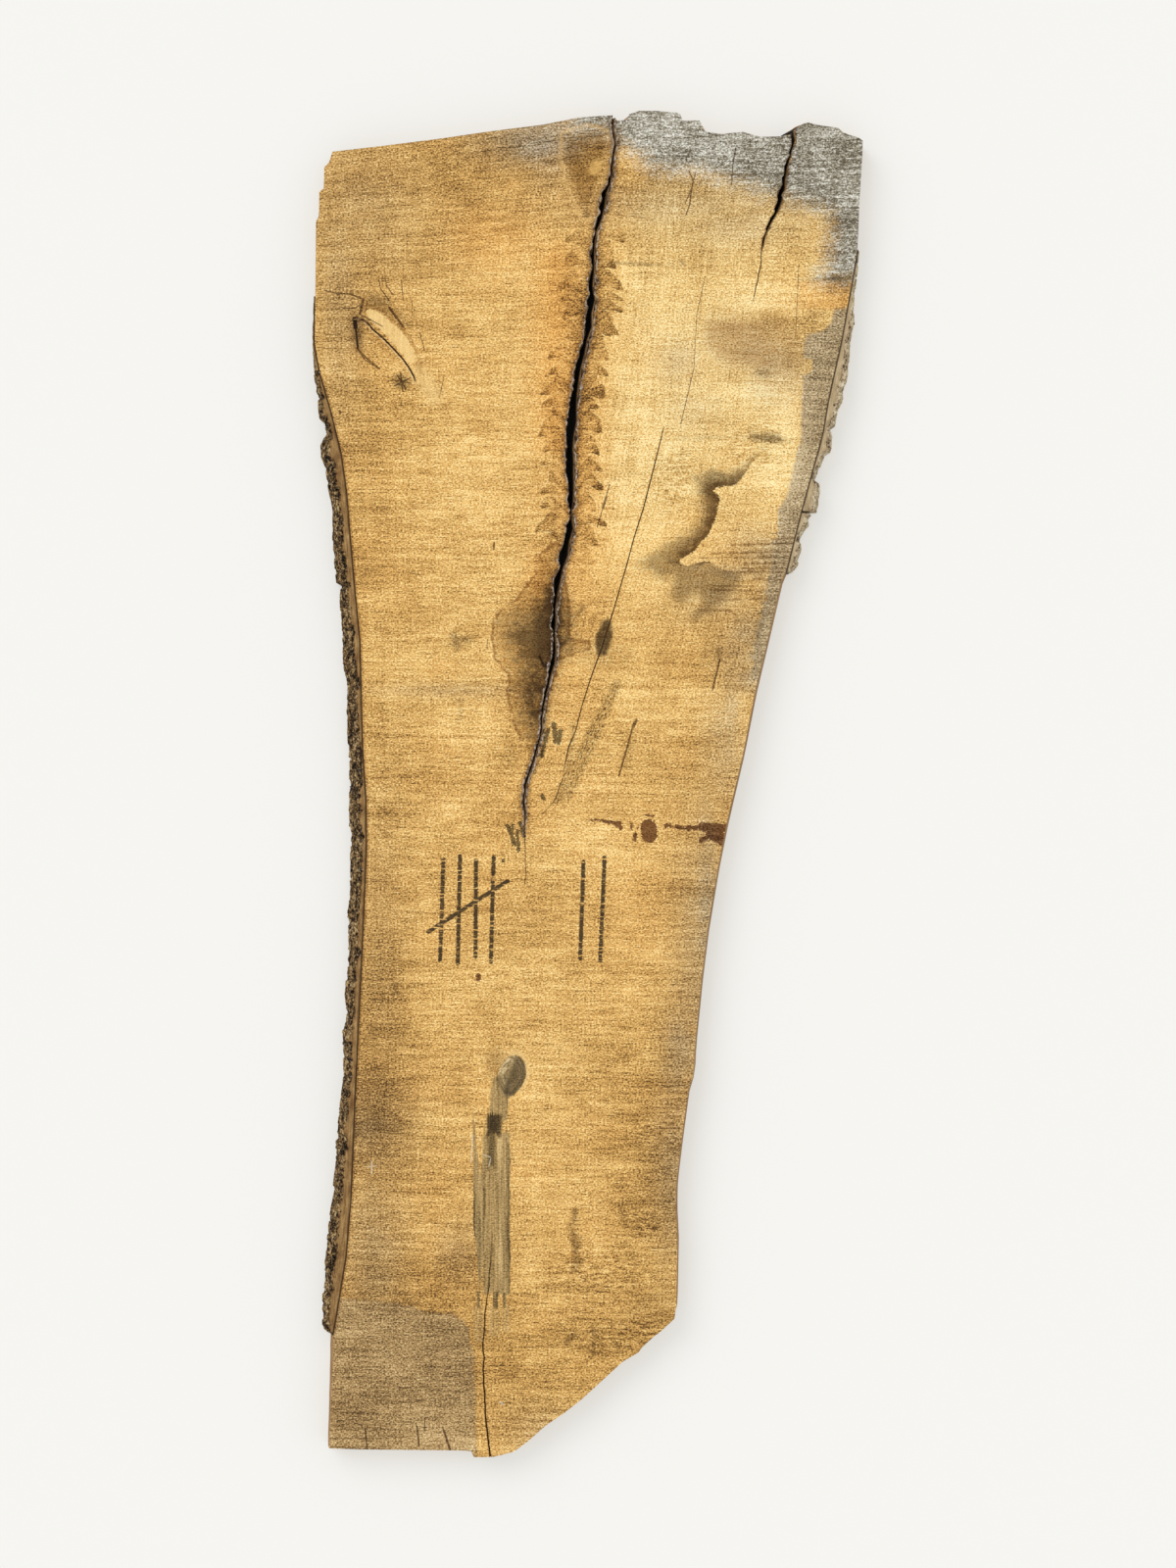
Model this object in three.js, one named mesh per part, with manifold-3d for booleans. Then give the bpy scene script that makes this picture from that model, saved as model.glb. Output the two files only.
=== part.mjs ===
// Rough-sawn pecan slab, cut lengthwise through a forked log and lying flat on its back face.
// Millimetres. X runs across the slab, Y along it towards the fork end, Z up through its thickness.
// The origin is on the back face, below the middle of the slab.
//
// The wood is one piece: sawn faces, a natural edge on each side, two cracks that go right through
// from the fork end, shallow seasoning checks and a torn branch scar. The bark still holds on in
// four strips, each parted from the wood by a dry seam.

import * as THREE from 'three';
import Module from 'manifold-3d';

const wasm = await Module();
wasm.setup();

// Driving dimensions
const THICKNESS = 57;
const SEAM_GAP = 0.35;
const THINNEST_BARK = 2.4;
const STATION_STEP = 13;
const CLOSEST_STATIONS = 4;
const WOOD_LEVELS = [0, 0.34, 0.67, 1];
const BARK_LEVELS = [0, 0.15, 0.32, 0.5, 0.68, 0.85, 1];

// Colours, from the sawn face and the bark
const WOOD_COLOUR = 0xcda668;
const BARK_COLOUR = 0x6a553c;
const INNER_BARK_COLOUR = 0x7b6140;

// Natural edges of the wood at the sawn face, as [y, x] from the butt end up
const LEFT_WOOD = [
  [-1204, -469], [-1054, -463], [-1006, -462], [-960, -454], [-857, -437], [-749, -428],
  [-578, -421], [-450, -415], [-280, -407], [-118, -400], [-28, -401], [63, -407], [260, -412],
  [351, -421], [464, -431], [528, -436], [599, -446], [672, -464], [745, -485], [798, -495],
  [912, -494], [1019, -493], [1026, -488], [1074, -487], [1079, -479], [1118, -478],
  [1122, -471], [1146, -463],
];
const RIGHT_WOOD = [
  [-1217, -160], [-1210, -134], [-1189, -106], [-1164, -78], [-1137, -39], [-1114, -10],
  [-1080, 27], [-1047, 63], [-1030, 92], [-1012, 104], [-994, 130], [-969, 157], [-944, 160],
  [-825, 162], [-772, 159], [-724, 160], [-642, 170], [-560, 181], [-527, 191], [-479, 193],
  [-356, 205], [-267, 216], [-157, 234], [-72, 251], [56, 281], [163, 302], [290, 332],
  [376, 352], [386, 359], [431, 370], [495, 386], [546, 400], [610, 418], [638, 425],
  [692, 434], [805, 459], [917, 479], [965, 487], [985, 489], [1056, 492], [1136, 497],
  [1166, 498],
];

// How far each edge of the wood leans out from the sawn face to the back face, as [y, distance]
const LEFT_FLARE = [
  [-1220, 6], [-1000, 9], [-530, 12], [-180, 18], [35, 20], [350, 14], [620, 10], [745, 6],
  [800, 1.5], [884, 1], [1150, 2],
];
const RIGHT_FLARE = [
  [-1220, 3], [-944, 4], [-500, 5], [-100, 6], [380, 6], [500, 5], [985, 4], [1170, 3],
];

// Outer surface of the bark at the back face, as [y, x] from the butt end up
const LEFT_BARK = [
  [-999, -473], [-992, -485], [-928, -485], [-914, -481], [-871, -481], [-816, -475],
  [-773, -470], [-741, -463], [-733, -466], [-692, -461], [-651, -461], [-645, -455],
  [-631, -459], [-567, -452], [-534, -447], [-456, -450], [-416, -442], [-383, -445],
  [-337, -440], [-289, -437], [-246, -440], [-193, -435], [-93, -434], [-72, -438],
  [33, -436], [86, -440], [163, -442], [186, -440], [212, -447], [283, -450], [354, -456],
  [360, -448], [367, -460], [440, -467], [498, -467], [537, -474], [576, -480], [596, -488],
  [617, -489], [637, -479], [658, -481], [667, -491], [708, -494], [745, -500],
];
const LEFT_TOP_BARK = [[750, -500], [814, -501], [862, -499], [884, -498]];
const RIGHT_LOW_BARK = [
  [383, 364], [386, 373], [397, 383], [427, 389], [447, 387], [461, 395], [470, 403],
  [482, 402], [491, 408],
];
const RIGHT_BARK = [
  [495, 418], [533, 423], [547, 423], [553, 413], [576, 424], [600, 433], [605, 444],
  [630, 446], [646, 441], [653, 452], [683, 456], [694, 465], [715, 465], [734, 473],
  [807, 479], [832, 485], [892, 486], [910, 489], [949, 493], [969, 494],
];

// Sawn ends as [x, y]: the butt from left to right, the fork end from right to left
const BUTT_END = [[-415, -1206], [-230, -1208], [-212, -1209], [-207, -1220], [-173, -1220]];
const FORK_END = [
  [491, 1171], [473, 1177], [459, 1182], [454, 1189], [420, 1194], [399, 1199], [388, 1196],
  [379, 1189], [364, 1174], [312, 1173], [281, 1182], [241, 1178], [214, 1182], [207, 1187],
  [202, 1203], [171, 1202], [168, 1213], [161, 1217], [122, 1220], [93, 1220], [75, 1214],
  [72, 1204], [52, 1202], [46, 1212], [26, 1211], [-17, 1208], [-81, 1195], [-177, 1183],
  [-273, 1169], [-369, 1157],
];

// Cracks that go right through, as [y, middle, width] at the sawn face from the tip up. The walls
// lean: at the back face the crack is narrower and has moved across by CRACK_LEAN.
const CRACK_LEAN = -22;
const BACK_NARROWING = 0.6;
const THINNEST_CRACK = 0.8;
const MAIN_CRACK = [
  [-75, -114, 0.8], [-38, -115, 2.7], [-4, -114, 3.9], [43, -99, 3.9], [83, -88, 4.3],
  [138, -81, 5.3], [192, -71, 6.7], [226, -62, 7.8], [274, -62, 7.1], [335, -58, 7.5],
  [370, -54, 13.1], [404, -45, 14.6], [445, -35, 13.9], [486, -29, 9.2], [539, -30, 9.6],
  [575, -33, 14.7], [608, -32, 16.3], [662, -29, 16.3], [717, -21, 15.3], [771, -12, 12.8],
  [825, 1, 11.7], [880, 8, 12.4], [933, 9, 9.2], [962, 10, 7.5], [1004, 16, 8.2],
  [1052, 27, 8.9], [1077, 35, 7.5], [1100, 42, 6], [1136, 47, 3.9], [1162, 50, 4.6],
  [1182, 47, 5.3], [1200, 45, 4.6], [1230, 50, 6],
];
const SECOND_CRACK = [
  [966, 315, 0.8], [991, 320, 5.2], [1019, 331, 6.7], [1049, 344, 7.1], [1082, 354, 7.5],
  [1122, 363, 8.9], [1154, 370, 9.2], [1190, 375, 10], [1230, 380, 10.5],
];

// Checks that only open the face, as [x, y] along each one
const BUTT_CHECK = [
  [-177, -1230], [-182, -1178], [-187, -1144], [-190, -1082], [-190, -1015], [-187, -967],
  [-182, -919], [-172, -832],
];
const FACE_CHECK = [
  [-45, 20], [-35, 67], [-22, 97], [-12, 138], [5, 192], [25, 247], [46, 314], [70, 396],
  [83, 445], [100, 498], [121, 580], [138, 649],
];
const SCAR_CHECK = [
  [-420, 795], [-421, 820], [-414, 838], [-405, 836], [-388, 820], [-372, 804], [-354, 782],
  [-337, 761], [-324, 743], [-315, 727],
];
const BUTT_CHECK_SIZE = { width: 2.6, depth: 24, fromEnd: true };
const FACE_CHECK_SIZE = { width: 2, depth: 15, fromEnd: false };
const SCAR_CHECK_SIZE = { width: 5, depth: 18, fromEnd: false };
const LEAST_OPENING = 0.2;

// Shallow hollow beside the torn branch scar, an ellipsoid sunk into the face
const SCAR_HOLLOW = { x: -356, y: 806, turn: -50, halfLength: 92, halfWidth: 27, depth: 4.5 };
const SCAR_ROUNDNESS = 16;
const SCAR_SPLITS = 5;

// Straight-line reading of a table of [y, value] rows
function along(rows, y) {
  if (y <= rows[0][0]) return rows[0][1];
  for (let i = 1; i < rows.length; i += 1) {
    const [y0, v0] = rows[i - 1];
    const [y1, v1] = rows[i];
    if (y <= y1) return v0 + ((v1 - v0) * (y - y0)) / (y1 - y0);
  }
  return rows[rows.length - 1][1];
}

// The edges of the wood: the lean grows with the square of the depth below the sawn face
function leftWoodX(y, level) {
  return along(LEFT_WOOD, y) - along(LEFT_FLARE, y) * (1 - level * level);
}

function rightWoodX(y, level) {
  return along(RIGHT_WOOD, y) + along(RIGHT_FLARE, y) * (1 - level * level);
}

// Depth of the furrows between the bark's flat ridges, which run along the trunk and weave
function furrow(y, level) {
  const weave = 2.3 * Math.sin(y / 29) + 1.4 * Math.sin(y / 13.7 + 1);
  const ridge = 0.5 + 0.5 * Math.sin(level * 13 + weave);
  const crossing = Math.max(0, Math.sin(y / 9.5 + 2.6 * Math.sin(level * 7 + y / 61)));
  return 3.6 * ridge * ridge + 2.4 * crossing ** 4;
}

// Heights along Y where an edge is drawn: even steps, and every point of its outlines
function stationsOf(low, high, ...outlines) {
  const steps = Math.max(1, Math.round((high - low) / STATION_STEP));
  const wanted = Array.from({ length: steps + 1 }, (_, i) => low + ((high - low) * i) / steps);
  const corners = outlines.flat().map((row) => row[0]).filter((y) => y > low && y < high);
  const kept = [low];
  for (const y of corners.sort((a, b) => a - b)) {
    if (y - kept[kept.length - 1] > CLOSEST_STATIONS && high - y > CLOSEST_STATIONS) kept.push(y);
  }
  kept.push(high);
  const clear = (y) => kept.every((other) => Math.abs(other - y) > CLOSEST_STATIONS);
  return kept.concat(wanted.filter(clear)).sort((a, b) => a - b);
}

function span(outline) {
  return [outline[0][0], outline[outline.length - 1][0]];
}

const LEFT_STATIONS = stationsOf(...span(LEFT_BARK), LEFT_BARK, LEFT_WOOD);
const LEFT_TOP_STATIONS = stationsOf(...span(LEFT_TOP_BARK), LEFT_TOP_BARK, LEFT_WOOD);
const RIGHT_LOW_STATIONS = stationsOf(...span(RIGHT_LOW_BARK), RIGHT_LOW_BARK, RIGHT_WOOD);
const RIGHT_STATIONS = stationsOf(...span(RIGHT_BARK), RIGHT_BARK, RIGHT_WOOD);

// Heights of one edge of the wood: those of the bark on it, and the bare stretches' own points
function edgeStations(wood, ...barks) {
  const bare = wood.map((row) => row[0]);
  const covered = (y) => barks.some((s) => y >= s[0] && y <= s[s.length - 1]);
  return [...bare.filter((y) => !covered(y)), ...barks.flat()].sort((a, b) => a - b);
}

// A closed skin over rings of equally many points, with the first and last ring filled flat.
// The filling is worked out in the two axes that each ring lies in.
function loft(rings, flatAxes) {
  const count = rings[0].length;
  const triangles = [];
  for (let r = 0; r + 1 < rings.length; r += 1) {
    for (let i = 0; i < count; i += 1) {
      const a = r * count + i;
      const b = r * count + ((i + 1) % count);
      triangles.push([a, b, b + count], [a, b + count, a + count]);
    }
  }
  const fill = (r, turned) => {
    const outline = rings[r].map((p) => new THREE.Vector2(p[flatAxes[0]], p[flatAxes[1]]));
    const clockwise = THREE.ShapeUtils.isClockWise(outline);
    for (const [a, b, c] of THREE.ShapeUtils.triangulateShape(outline, [])) {
      const face = [a, b, c].map((i) => r * count + i);
      triangles.push(turned === clockwise ? face : face.reverse());
    }
  };
  fill(0, true);
  fill(rings.length - 1, false);
  return facingOut(rings.flat(), triangles);
}

// Turns a closed skin right side out, by the sign of the volume it encloses
function facingOut(points, triangles) {
  const corner = (i) => new THREE.Vector3(...points[i]);
  let volume = 0;
  for (const [a, b, c] of triangles) volume += corner(a).dot(corner(b).cross(corner(c)));
  const faces = volume < 0 ? triangles.map(([a, b, c]) => [a, c, b]) : triangles;
  const geometry = new THREE.BufferGeometry();
  geometry.setAttribute('position', new THREE.Float32BufferAttribute(points.flat(), 3));
  geometry.setIndex(faces.flat());
  return geometry;
}

function solidOf(geometry) {
  return new wasm.Manifold(new wasm.Mesh({
    numProp: 3,
    vertProperties: new Float32Array(geometry.attributes.position.array),
    triVerts: new Uint32Array(geometry.index.array),
  }));
}

function geometryOf(solid) {
  const mesh = solid.getMesh();
  const geometry = new THREE.BufferGeometry();
  geometry.setAttribute('position', new THREE.BufferAttribute(mesh.vertProperties, 3));
  geometry.setIndex(new THREE.BufferAttribute(mesh.triVerts, 1));
  return geometry;
}

// The slab before it cracked: the outline lofted from the back face up to the sawn face
function plankGeometry() {
  const left = edgeStations(LEFT_WOOD, LEFT_STATIONS, LEFT_TOP_STATIONS).reverse();
  const right = edgeStations(RIGHT_WOOD, RIGHT_LOW_STATIONS, RIGHT_STATIONS);
  const ring = (level) => {
    const z = level * THICKNESS;
    return [
      ...BUTT_END.map(([x, y]) => [x, y, z]),
      ...right.map((y) => [rightWoodX(y, level), y, z]),
      ...FORK_END.map(([x, y]) => [x, y, z]),
      ...left.map((y) => [leftWoodX(y, level), y, z]),
    ];
  };
  return loft(WOOD_LEVELS.map(ring), [0, 1]);
}

// A blade that opens a crack right through, with its walls leaning across the slab
function throughCrack(rows) {
  const past = 1;
  return loft(rows.map(([y, middle, width]) => {
    const face = width / 2;
    const back = Math.max(THINNEST_CRACK, width * BACK_NARROWING) / 2;
    const low = middle + CRACK_LEAN;
    return [
      [low - back, y, -past], [low + back, y, -past],
      [middle + face, y, THICKNESS + past], [middle - face, y, THICKNESS + past],
    ];
  }), [0, 2]);
}

// A wedge that opens a check in the face. It is widest half way along, or at its start where it
// runs in from a sawn end, and nearly closed at its other ends.
function faceCheck(points, { width, depth, fromEnd }) {
  const path = points.map(([x, y]) => new THREE.Vector2(x, y));
  const last = path.length - 1;
  const past = 1;
  const rings = path.map((p, i) => {
    const ahead = path[Math.min(i + 1, last)];
    const behind = path[Math.max(i - 1, 0)];
    const side = ahead.clone().sub(behind).normalize().rotateAround(new THREE.Vector2(), Math.PI / 2);
    const opening = fromEnd ? Math.cos((Math.PI * i) / (2 * last)) : Math.sin((Math.PI * i) / last);
    const share = LEAST_OPENING + (1 - LEAST_OPENING) * opening;
    const half = (width * share) / 2;
    return [
      [p.x, p.y, THICKNESS - depth * share],
      [p.x - side.x * half, p.y - side.y * half, THICKNESS + past],
      [p.x + side.x * half, p.y + side.y * half, THICKNESS + past],
    ];
  });
  return loft(rings, [0, 2]);
}

// The hollow beside the scar: a ball stretched, turned and sunk until its foot has the named size
function scarHollow() {
  const { x, y, turn, halfLength, halfWidth, depth } = SCAR_HOLLOW;
  const above = SCAR_ROUNDNESS - depth;
  const share = Math.sqrt(1 - (above / SCAR_ROUNDNESS) ** 2);
  const ball = new THREE.IcosahedronGeometry(1, SCAR_SPLITS);
  const points = ball.attributes.position;
  const keys = new Map();
  const corners = [];
  const faces = [];
  for (let i = 0; i < points.count; i += 3) {
    faces.push([0, 1, 2].map((k) => {
      const p = new THREE.Vector3().fromBufferAttribute(points, i + k);
      const key = p.toArray().map((v) => v.toFixed(5)).join();
      if (!keys.has(key)) {
        keys.set(key, corners.length);
        p.multiply(new THREE.Vector3(halfLength / share, halfWidth / share, SCAR_ROUNDNESS));
        p.applyAxisAngle(new THREE.Vector3(0, 0, 1), THREE.MathUtils.degToRad(turn));
        corners.push([p.x + x, p.y + y, p.z + THICKNESS + above]);
      }
      return keys.get(key);
    }));
  }
  return facingOut(corners, faces);
}

function woodGeometry() {
  const solid = solidOf(plankGeometry())
    .subtract(solidOf(throughCrack(MAIN_CRACK)))
    .subtract(solidOf(throughCrack(SECOND_CRACK)))
    .subtract(solidOf(faceCheck(BUTT_CHECK, BUTT_CHECK_SIZE)))
    .subtract(solidOf(faceCheck(FACE_CHECK, FACE_CHECK_SIZE)))
    .subtract(solidOf(faceCheck(SCAR_CHECK, SCAR_CHECK_SIZE)))
    .subtract(solidOf(scarHollow()));
  return geometryOf(solid);
}

// A strip of bark: at each station a loop that goes down along the wood and up its furrowed
// outside. An edge's side is -1 on the left and 1 on the right.
function barkGeometry({ woodX, flare, side }, stations, outline, roughness) {
  const rings = stations.map((y) => {
    const inner = (level) => woodX(y, level) + side * SEAM_GAP;
    const outer = (level) => {
      const depth = along(flare, y) * level * level + roughness * furrow(y, level);
      const grown = side * along(outline, y) - depth;
      return side * Math.max(grown, side * inner(level) + THINNEST_BARK);
    };
    return [
      ...WOOD_LEVELS.map((level) => [inner(level), y, level * THICKNESS]).reverse(),
      ...BARK_LEVELS.map((level) => [outer(level), y, level * THICKNESS]),
    ];
  });
  return loft(rings, [0, 2]);
}

const slab = new THREE.Group();

function add(name, geometry, color, roughness) {
  geometry.computeVertexNormals();
  const material = new THREE.MeshStandardMaterial({ color, roughness, metalness: 0, flatShading: true });
  const mesh = new THREE.Mesh(geometry, material);
  mesh.name = name;
  slab.add(mesh);
}

add('wood', woodGeometry(), WOOD_COLOUR, 0.85);

const left = { woodX: leftWoodX, flare: LEFT_FLARE, side: -1 };
const right = { woodX: rightWoodX, flare: RIGHT_FLARE, side: 1 };
add('bark_left', barkGeometry(left, LEFT_STATIONS, LEFT_BARK, 1), BARK_COLOUR, 0.95);
add('bark_left_top', barkGeometry(left, LEFT_TOP_STATIONS, LEFT_TOP_BARK, 0), INNER_BARK_COLOUR, 0.9);
add('bark_right_low', barkGeometry(right, RIGHT_LOW_STATIONS, RIGHT_LOW_BARK, 0.6), BARK_COLOUR, 0.95);
add('bark_right', barkGeometry(right, RIGHT_STATIONS, RIGHT_BARK, 0.6), BARK_COLOUR, 0.95);

export default slab;
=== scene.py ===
"""A rough-sawn pecan slab from a forked log, lying on its back face under soft studio light.

The wood and its four strips of bark are surfaces worked out here from the outlines below, each in
the place of the plain solid of the same name. Lengths are millimetres until a mesh is written.
X runs across the slab, Y along it towards the fork end, Z up through its thickness.
"""
import math

import bpy
import numpy as np
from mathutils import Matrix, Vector


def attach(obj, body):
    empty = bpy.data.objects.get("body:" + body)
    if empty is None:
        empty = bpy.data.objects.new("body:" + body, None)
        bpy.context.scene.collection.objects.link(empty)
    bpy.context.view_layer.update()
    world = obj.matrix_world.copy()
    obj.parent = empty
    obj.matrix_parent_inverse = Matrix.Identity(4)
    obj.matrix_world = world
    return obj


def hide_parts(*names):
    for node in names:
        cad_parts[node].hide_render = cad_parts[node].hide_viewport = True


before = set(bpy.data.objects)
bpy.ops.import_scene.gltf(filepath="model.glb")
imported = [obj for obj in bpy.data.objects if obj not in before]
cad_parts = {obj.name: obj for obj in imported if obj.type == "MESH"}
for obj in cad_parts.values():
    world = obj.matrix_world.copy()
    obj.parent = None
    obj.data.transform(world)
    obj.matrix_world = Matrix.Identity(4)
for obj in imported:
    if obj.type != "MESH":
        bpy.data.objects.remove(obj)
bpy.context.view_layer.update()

METRE = 1000.0
THICKNESS = 57.0
SEAM = 0.35
THINNEST_BARK = 2.4

# Natural edges of the wood at the sawn face, as (y, x) from the butt end up
LEFT_WOOD = [
    (-1204, -469), (-1054, -463), (-1006, -462), (-960, -454), (-857, -437), (-749, -428),
    (-578, -421), (-450, -415), (-280, -407), (-118, -400), (-28, -401), (63, -407), (260, -412),
    (351, -421), (464, -431), (528, -436), (599, -446), (672, -464), (745, -485), (798, -495),
    (912, -494), (1019, -493), (1026, -488), (1074, -487), (1079, -479), (1118, -478),
    (1122, -471), (1146, -463),
]
RIGHT_WOOD = [
    (-1217, -160), (-1210, -134), (-1189, -106), (-1164, -78), (-1137, -39), (-1114, -10),
    (-1080, 27), (-1047, 63), (-1030, 92), (-1012, 104), (-994, 130), (-969, 157), (-944, 160),
    (-825, 162), (-772, 159), (-724, 160), (-642, 170), (-560, 181), (-527, 191), (-479, 193),
    (-356, 205), (-267, 216), (-157, 234), (-72, 251), (56, 281), (163, 302), (290, 332),
    (376, 352), (386, 359), (431, 370), (495, 386), (546, 400), (610, 418), (638, 425),
    (692, 434), (805, 459), (917, 479), (965, 487), (985, 489), (1056, 492), (1136, 497),
    (1166, 498),
]
# How far each edge leans out from the sawn face to the back face, as (y, distance)
LEFT_FLARE = [
    (-1220, 6), (-1000, 9), (-530, 12), (-180, 18), (35, 20), (350, 14), (620, 10), (745, 6),
    (800, 1.5), (884, 1), (1150, 2),
]
RIGHT_FLARE = [
    (-1220, 3), (-944, 4), (-500, 5), (-100, 6), (380, 6), (500, 5), (985, 4), (1170, 3),
]
# Outer surface of the bark at the back face, as (y, x) from the butt end up
LEFT_BARK = [
    (-999, -473), (-992, -485), (-928, -485), (-914, -481), (-871, -481), (-816, -475),
    (-773, -470), (-741, -463), (-733, -466), (-692, -461), (-651, -461), (-645, -455),
    (-631, -459), (-567, -452), (-534, -447), (-456, -450), (-416, -442), (-383, -445),
    (-337, -440), (-289, -437), (-246, -440), (-193, -435), (-93, -434), (-72, -438),
    (33, -436), (86, -440), (163, -442), (186, -440), (212, -447), (283, -450), (354, -456),
    (360, -448), (367, -460), (440, -467), (498, -467), (537, -474), (576, -480), (596, -488),
    (617, -489), (637, -479), (658, -481), (667, -491), (708, -494), (745, -500),
]
LEFT_TOP_BARK = [(750, -500), (814, -501), (862, -499), (884, -498)]
RIGHT_LOW_BARK = [
    (383, 364), (386, 373), (397, 383), (427, 389), (447, 387), (461, 395), (470, 403),
    (482, 402), (491, 408),
]
RIGHT_BARK = [
    (495, 418), (533, 423), (547, 423), (553, 413), (576, 424), (600, 433), (605, 444),
    (630, 446), (646, 441), (653, 452), (683, 456), (694, 465), (715, 465), (734, 473),
    (807, 479), (832, 485), (892, 486), (910, 489), (949, 493), (969, 494),
]
# Sawn ends, as (x, y) from left to right
BUTT_END = [
    (-469, -1204), (-415, -1206), (-230, -1208), (-212, -1209), (-207, -1220), (-173, -1220),
    (-160, -1217),
]
FORK_END = [
    (-463, 1146), (-369, 1157), (-273, 1169), (-177, 1183), (-81, 1195), (-17, 1208), (26, 1211),
    (46, 1212), (52, 1202), (72, 1204), (75, 1214), (93, 1220), (122, 1220), (161, 1217),
    (168, 1213), (171, 1202), (202, 1203), (207, 1187), (214, 1182), (241, 1178), (281, 1182),
    (312, 1173), (364, 1174), (379, 1189), (388, 1196), (399, 1199), (420, 1194), (454, 1189),
    (459, 1182), (473, 1177), (491, 1171), (498, 1166),
]
# Cracks right through, as (y, middle, width) at the sawn face from the tip up; their walls lean
CRACK_LEAN = -22
BACK_NARROWING = 0.6
RAGGED = 13.0
WIGGLE = 5.0
MAIN_CRACK = [
    (-75, -114, 0.8), (-38, -115, 2.7), (-4, -114, 3.9), (43, -99, 3.9), (83, -88, 4.3),
    (138, -81, 5.3), (192, -71, 6.7), (226, -62, 7.8), (274, -62, 7.1), (335, -58, 7.5),
    (370, -54, 13.1), (404, -45, 14.6), (445, -35, 13.9), (486, -29, 9.2), (539, -30, 9.6),
    (575, -33, 14.7), (608, -32, 16.3), (662, -29, 16.3), (717, -21, 15.3), (771, -12, 12.8),
    (825, 1, 11.7), (880, 8, 12.4), (933, 9, 9.2), (962, 10, 7.5), (1004, 16, 8.2),
    (1052, 27, 8.9), (1077, 35, 7.5), (1100, 42, 6), (1136, 47, 3.9), (1162, 50, 4.6),
    (1182, 47, 5.3), (1200, 45, 4.6), (1230, 50, 6),
]
SECOND_CRACK = [
    (966, 315, 0.8), (991, 320, 5.2), (1019, 331, 6.7), (1049, 344, 7.1), (1082, 354, 7.5),
    (1122, 363, 8.9), (1154, 370, 9.2), (1190, 375, 10), (1230, 380, 10.5),
]
# Where those lines go on below the cracks' tips, as (y, middle, width): hairlines and a butt check
MAIN_LINE = [
    (-1220, -177, 2.6), (-1178, -182, 2.6), (-1144, -187, 2.4), (-1015, -190, 2), (-967, -187, 1.6),
    (-919, -182, 1.2), (-832, -172, 0.6), (-519, -150, 0.5), (-300, -125, 0.5), (-182, -114, 0.6),
]
SECOND_LINE = [
    (-944, 55, 0.5), (-600, 75, 0.5), (-300, 95, 0.5), (0, 125, 0.5), (300, 195, 0.5),
    (500, 240, 0.5), (745, 285, 0.5), (870, 298, 0.8), (893, 304, 1.2), (917, 309, 1.8),
]
FACE_LINE = [
    (-944, -60, 1), (-600, -50, 1), (-300, -40, 1), (-100, -50, 1), (20, -45, 1.4), (67, -35, 2),
    (97, -22, 1.4), (138, -12, 1.4), (192, 5, 1.6), (247, 25, 1.8), (314, 46, 1.6), (396, 70, 1.5),
    (445, 83, 1.6), (498, 100, 1.8), (580, 121, 1.6), (649, 138, 1.2), (700, 150, 1), (900, 168, 1),
    (1230, 185, 1),
]
# How deep each line is sunk where it doesn't go through, as (y, depth)
MAIN_SINK = [(-1220, 16), (-900, 7), (-832, 0), (-200, 0), (-182, 0.4), (-120, 2), (-75, 7)]
SECOND_SINK = [(860, 0), (870, 0.5), (917, 3), (966, 8)]
FACE_SINK = [(0, 0), (20, 1), (67, 3), (314, 5), (500, 5), (600, 3), (655, 0)]

# The grid of the sawn face: rows along Y, and cells across between the guide lines
ROWS = 800
ROWS_PER_STEP = 8
HALF_LENGTH = 1220.0
PANEL_CELLS = [44, 22, 20, 16]
CELLS_PER_STEP = 2
END_ZONE = 220
MAIN_TIP_ROW = 376
SECOND_TIP_ROW = 720


def along(rows, y, column=1):
    """Straight-line reading of one column of a table whose first column is y."""
    table = np.array(rows, float)
    return np.interp(y, table[:, 0], table[:, column])


def ease(t):
    """Runs from 0 to 1 as t does, level at both ends: 3 t squared minus 2 t cubed."""
    t = np.clip(t, 0, 1)
    return t * t * (3 - 2 * t)


def cloud(x, y, across, length, seed, octaves=1):
    """Smooth noise from 0 to 1: random heights on a lattice with cells of across by length, joined
    by eased blends. Each further octave has half the cell and half the height."""
    total, height, size = 0.0, 1.0, 0.0
    for octave in range(octaves):
        lattice = np.random.default_rng(seed + octave).random((256, 256))
        u, v = x / across * 2**octave, y / length * 2**octave
        i, j = np.floor(u).astype(int), np.floor(v).astype(int)
        a, b = ease(u - i), ease(v - j)
        low = lattice[i % 256, j % 256] * (1 - a) + lattice[(i + 1) % 256, j % 256] * a
        high = lattice[i % 256, (j + 1) % 256] * (1 - a) + lattice[(i + 1) % 256, (j + 1) % 256] * a
        total = total + height * (low * (1 - b) + high * b)
        size += height
        height /= 2
    return total / size


def edge_x(side, y, level):
    """X of the wood's natural edge: its outline at the sawn face, leaning out with the square of
    the depth. side is -1 on the left and 1 on the right, and level runs from 0 at the back to 1."""
    wood, flare = (LEFT_WOOD, LEFT_FLARE) if side < 0 else (RIGHT_WOOD, RIGHT_FLARE)
    return along(wood, y) + side * along(flare, y) * (1 - level * level)


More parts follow.
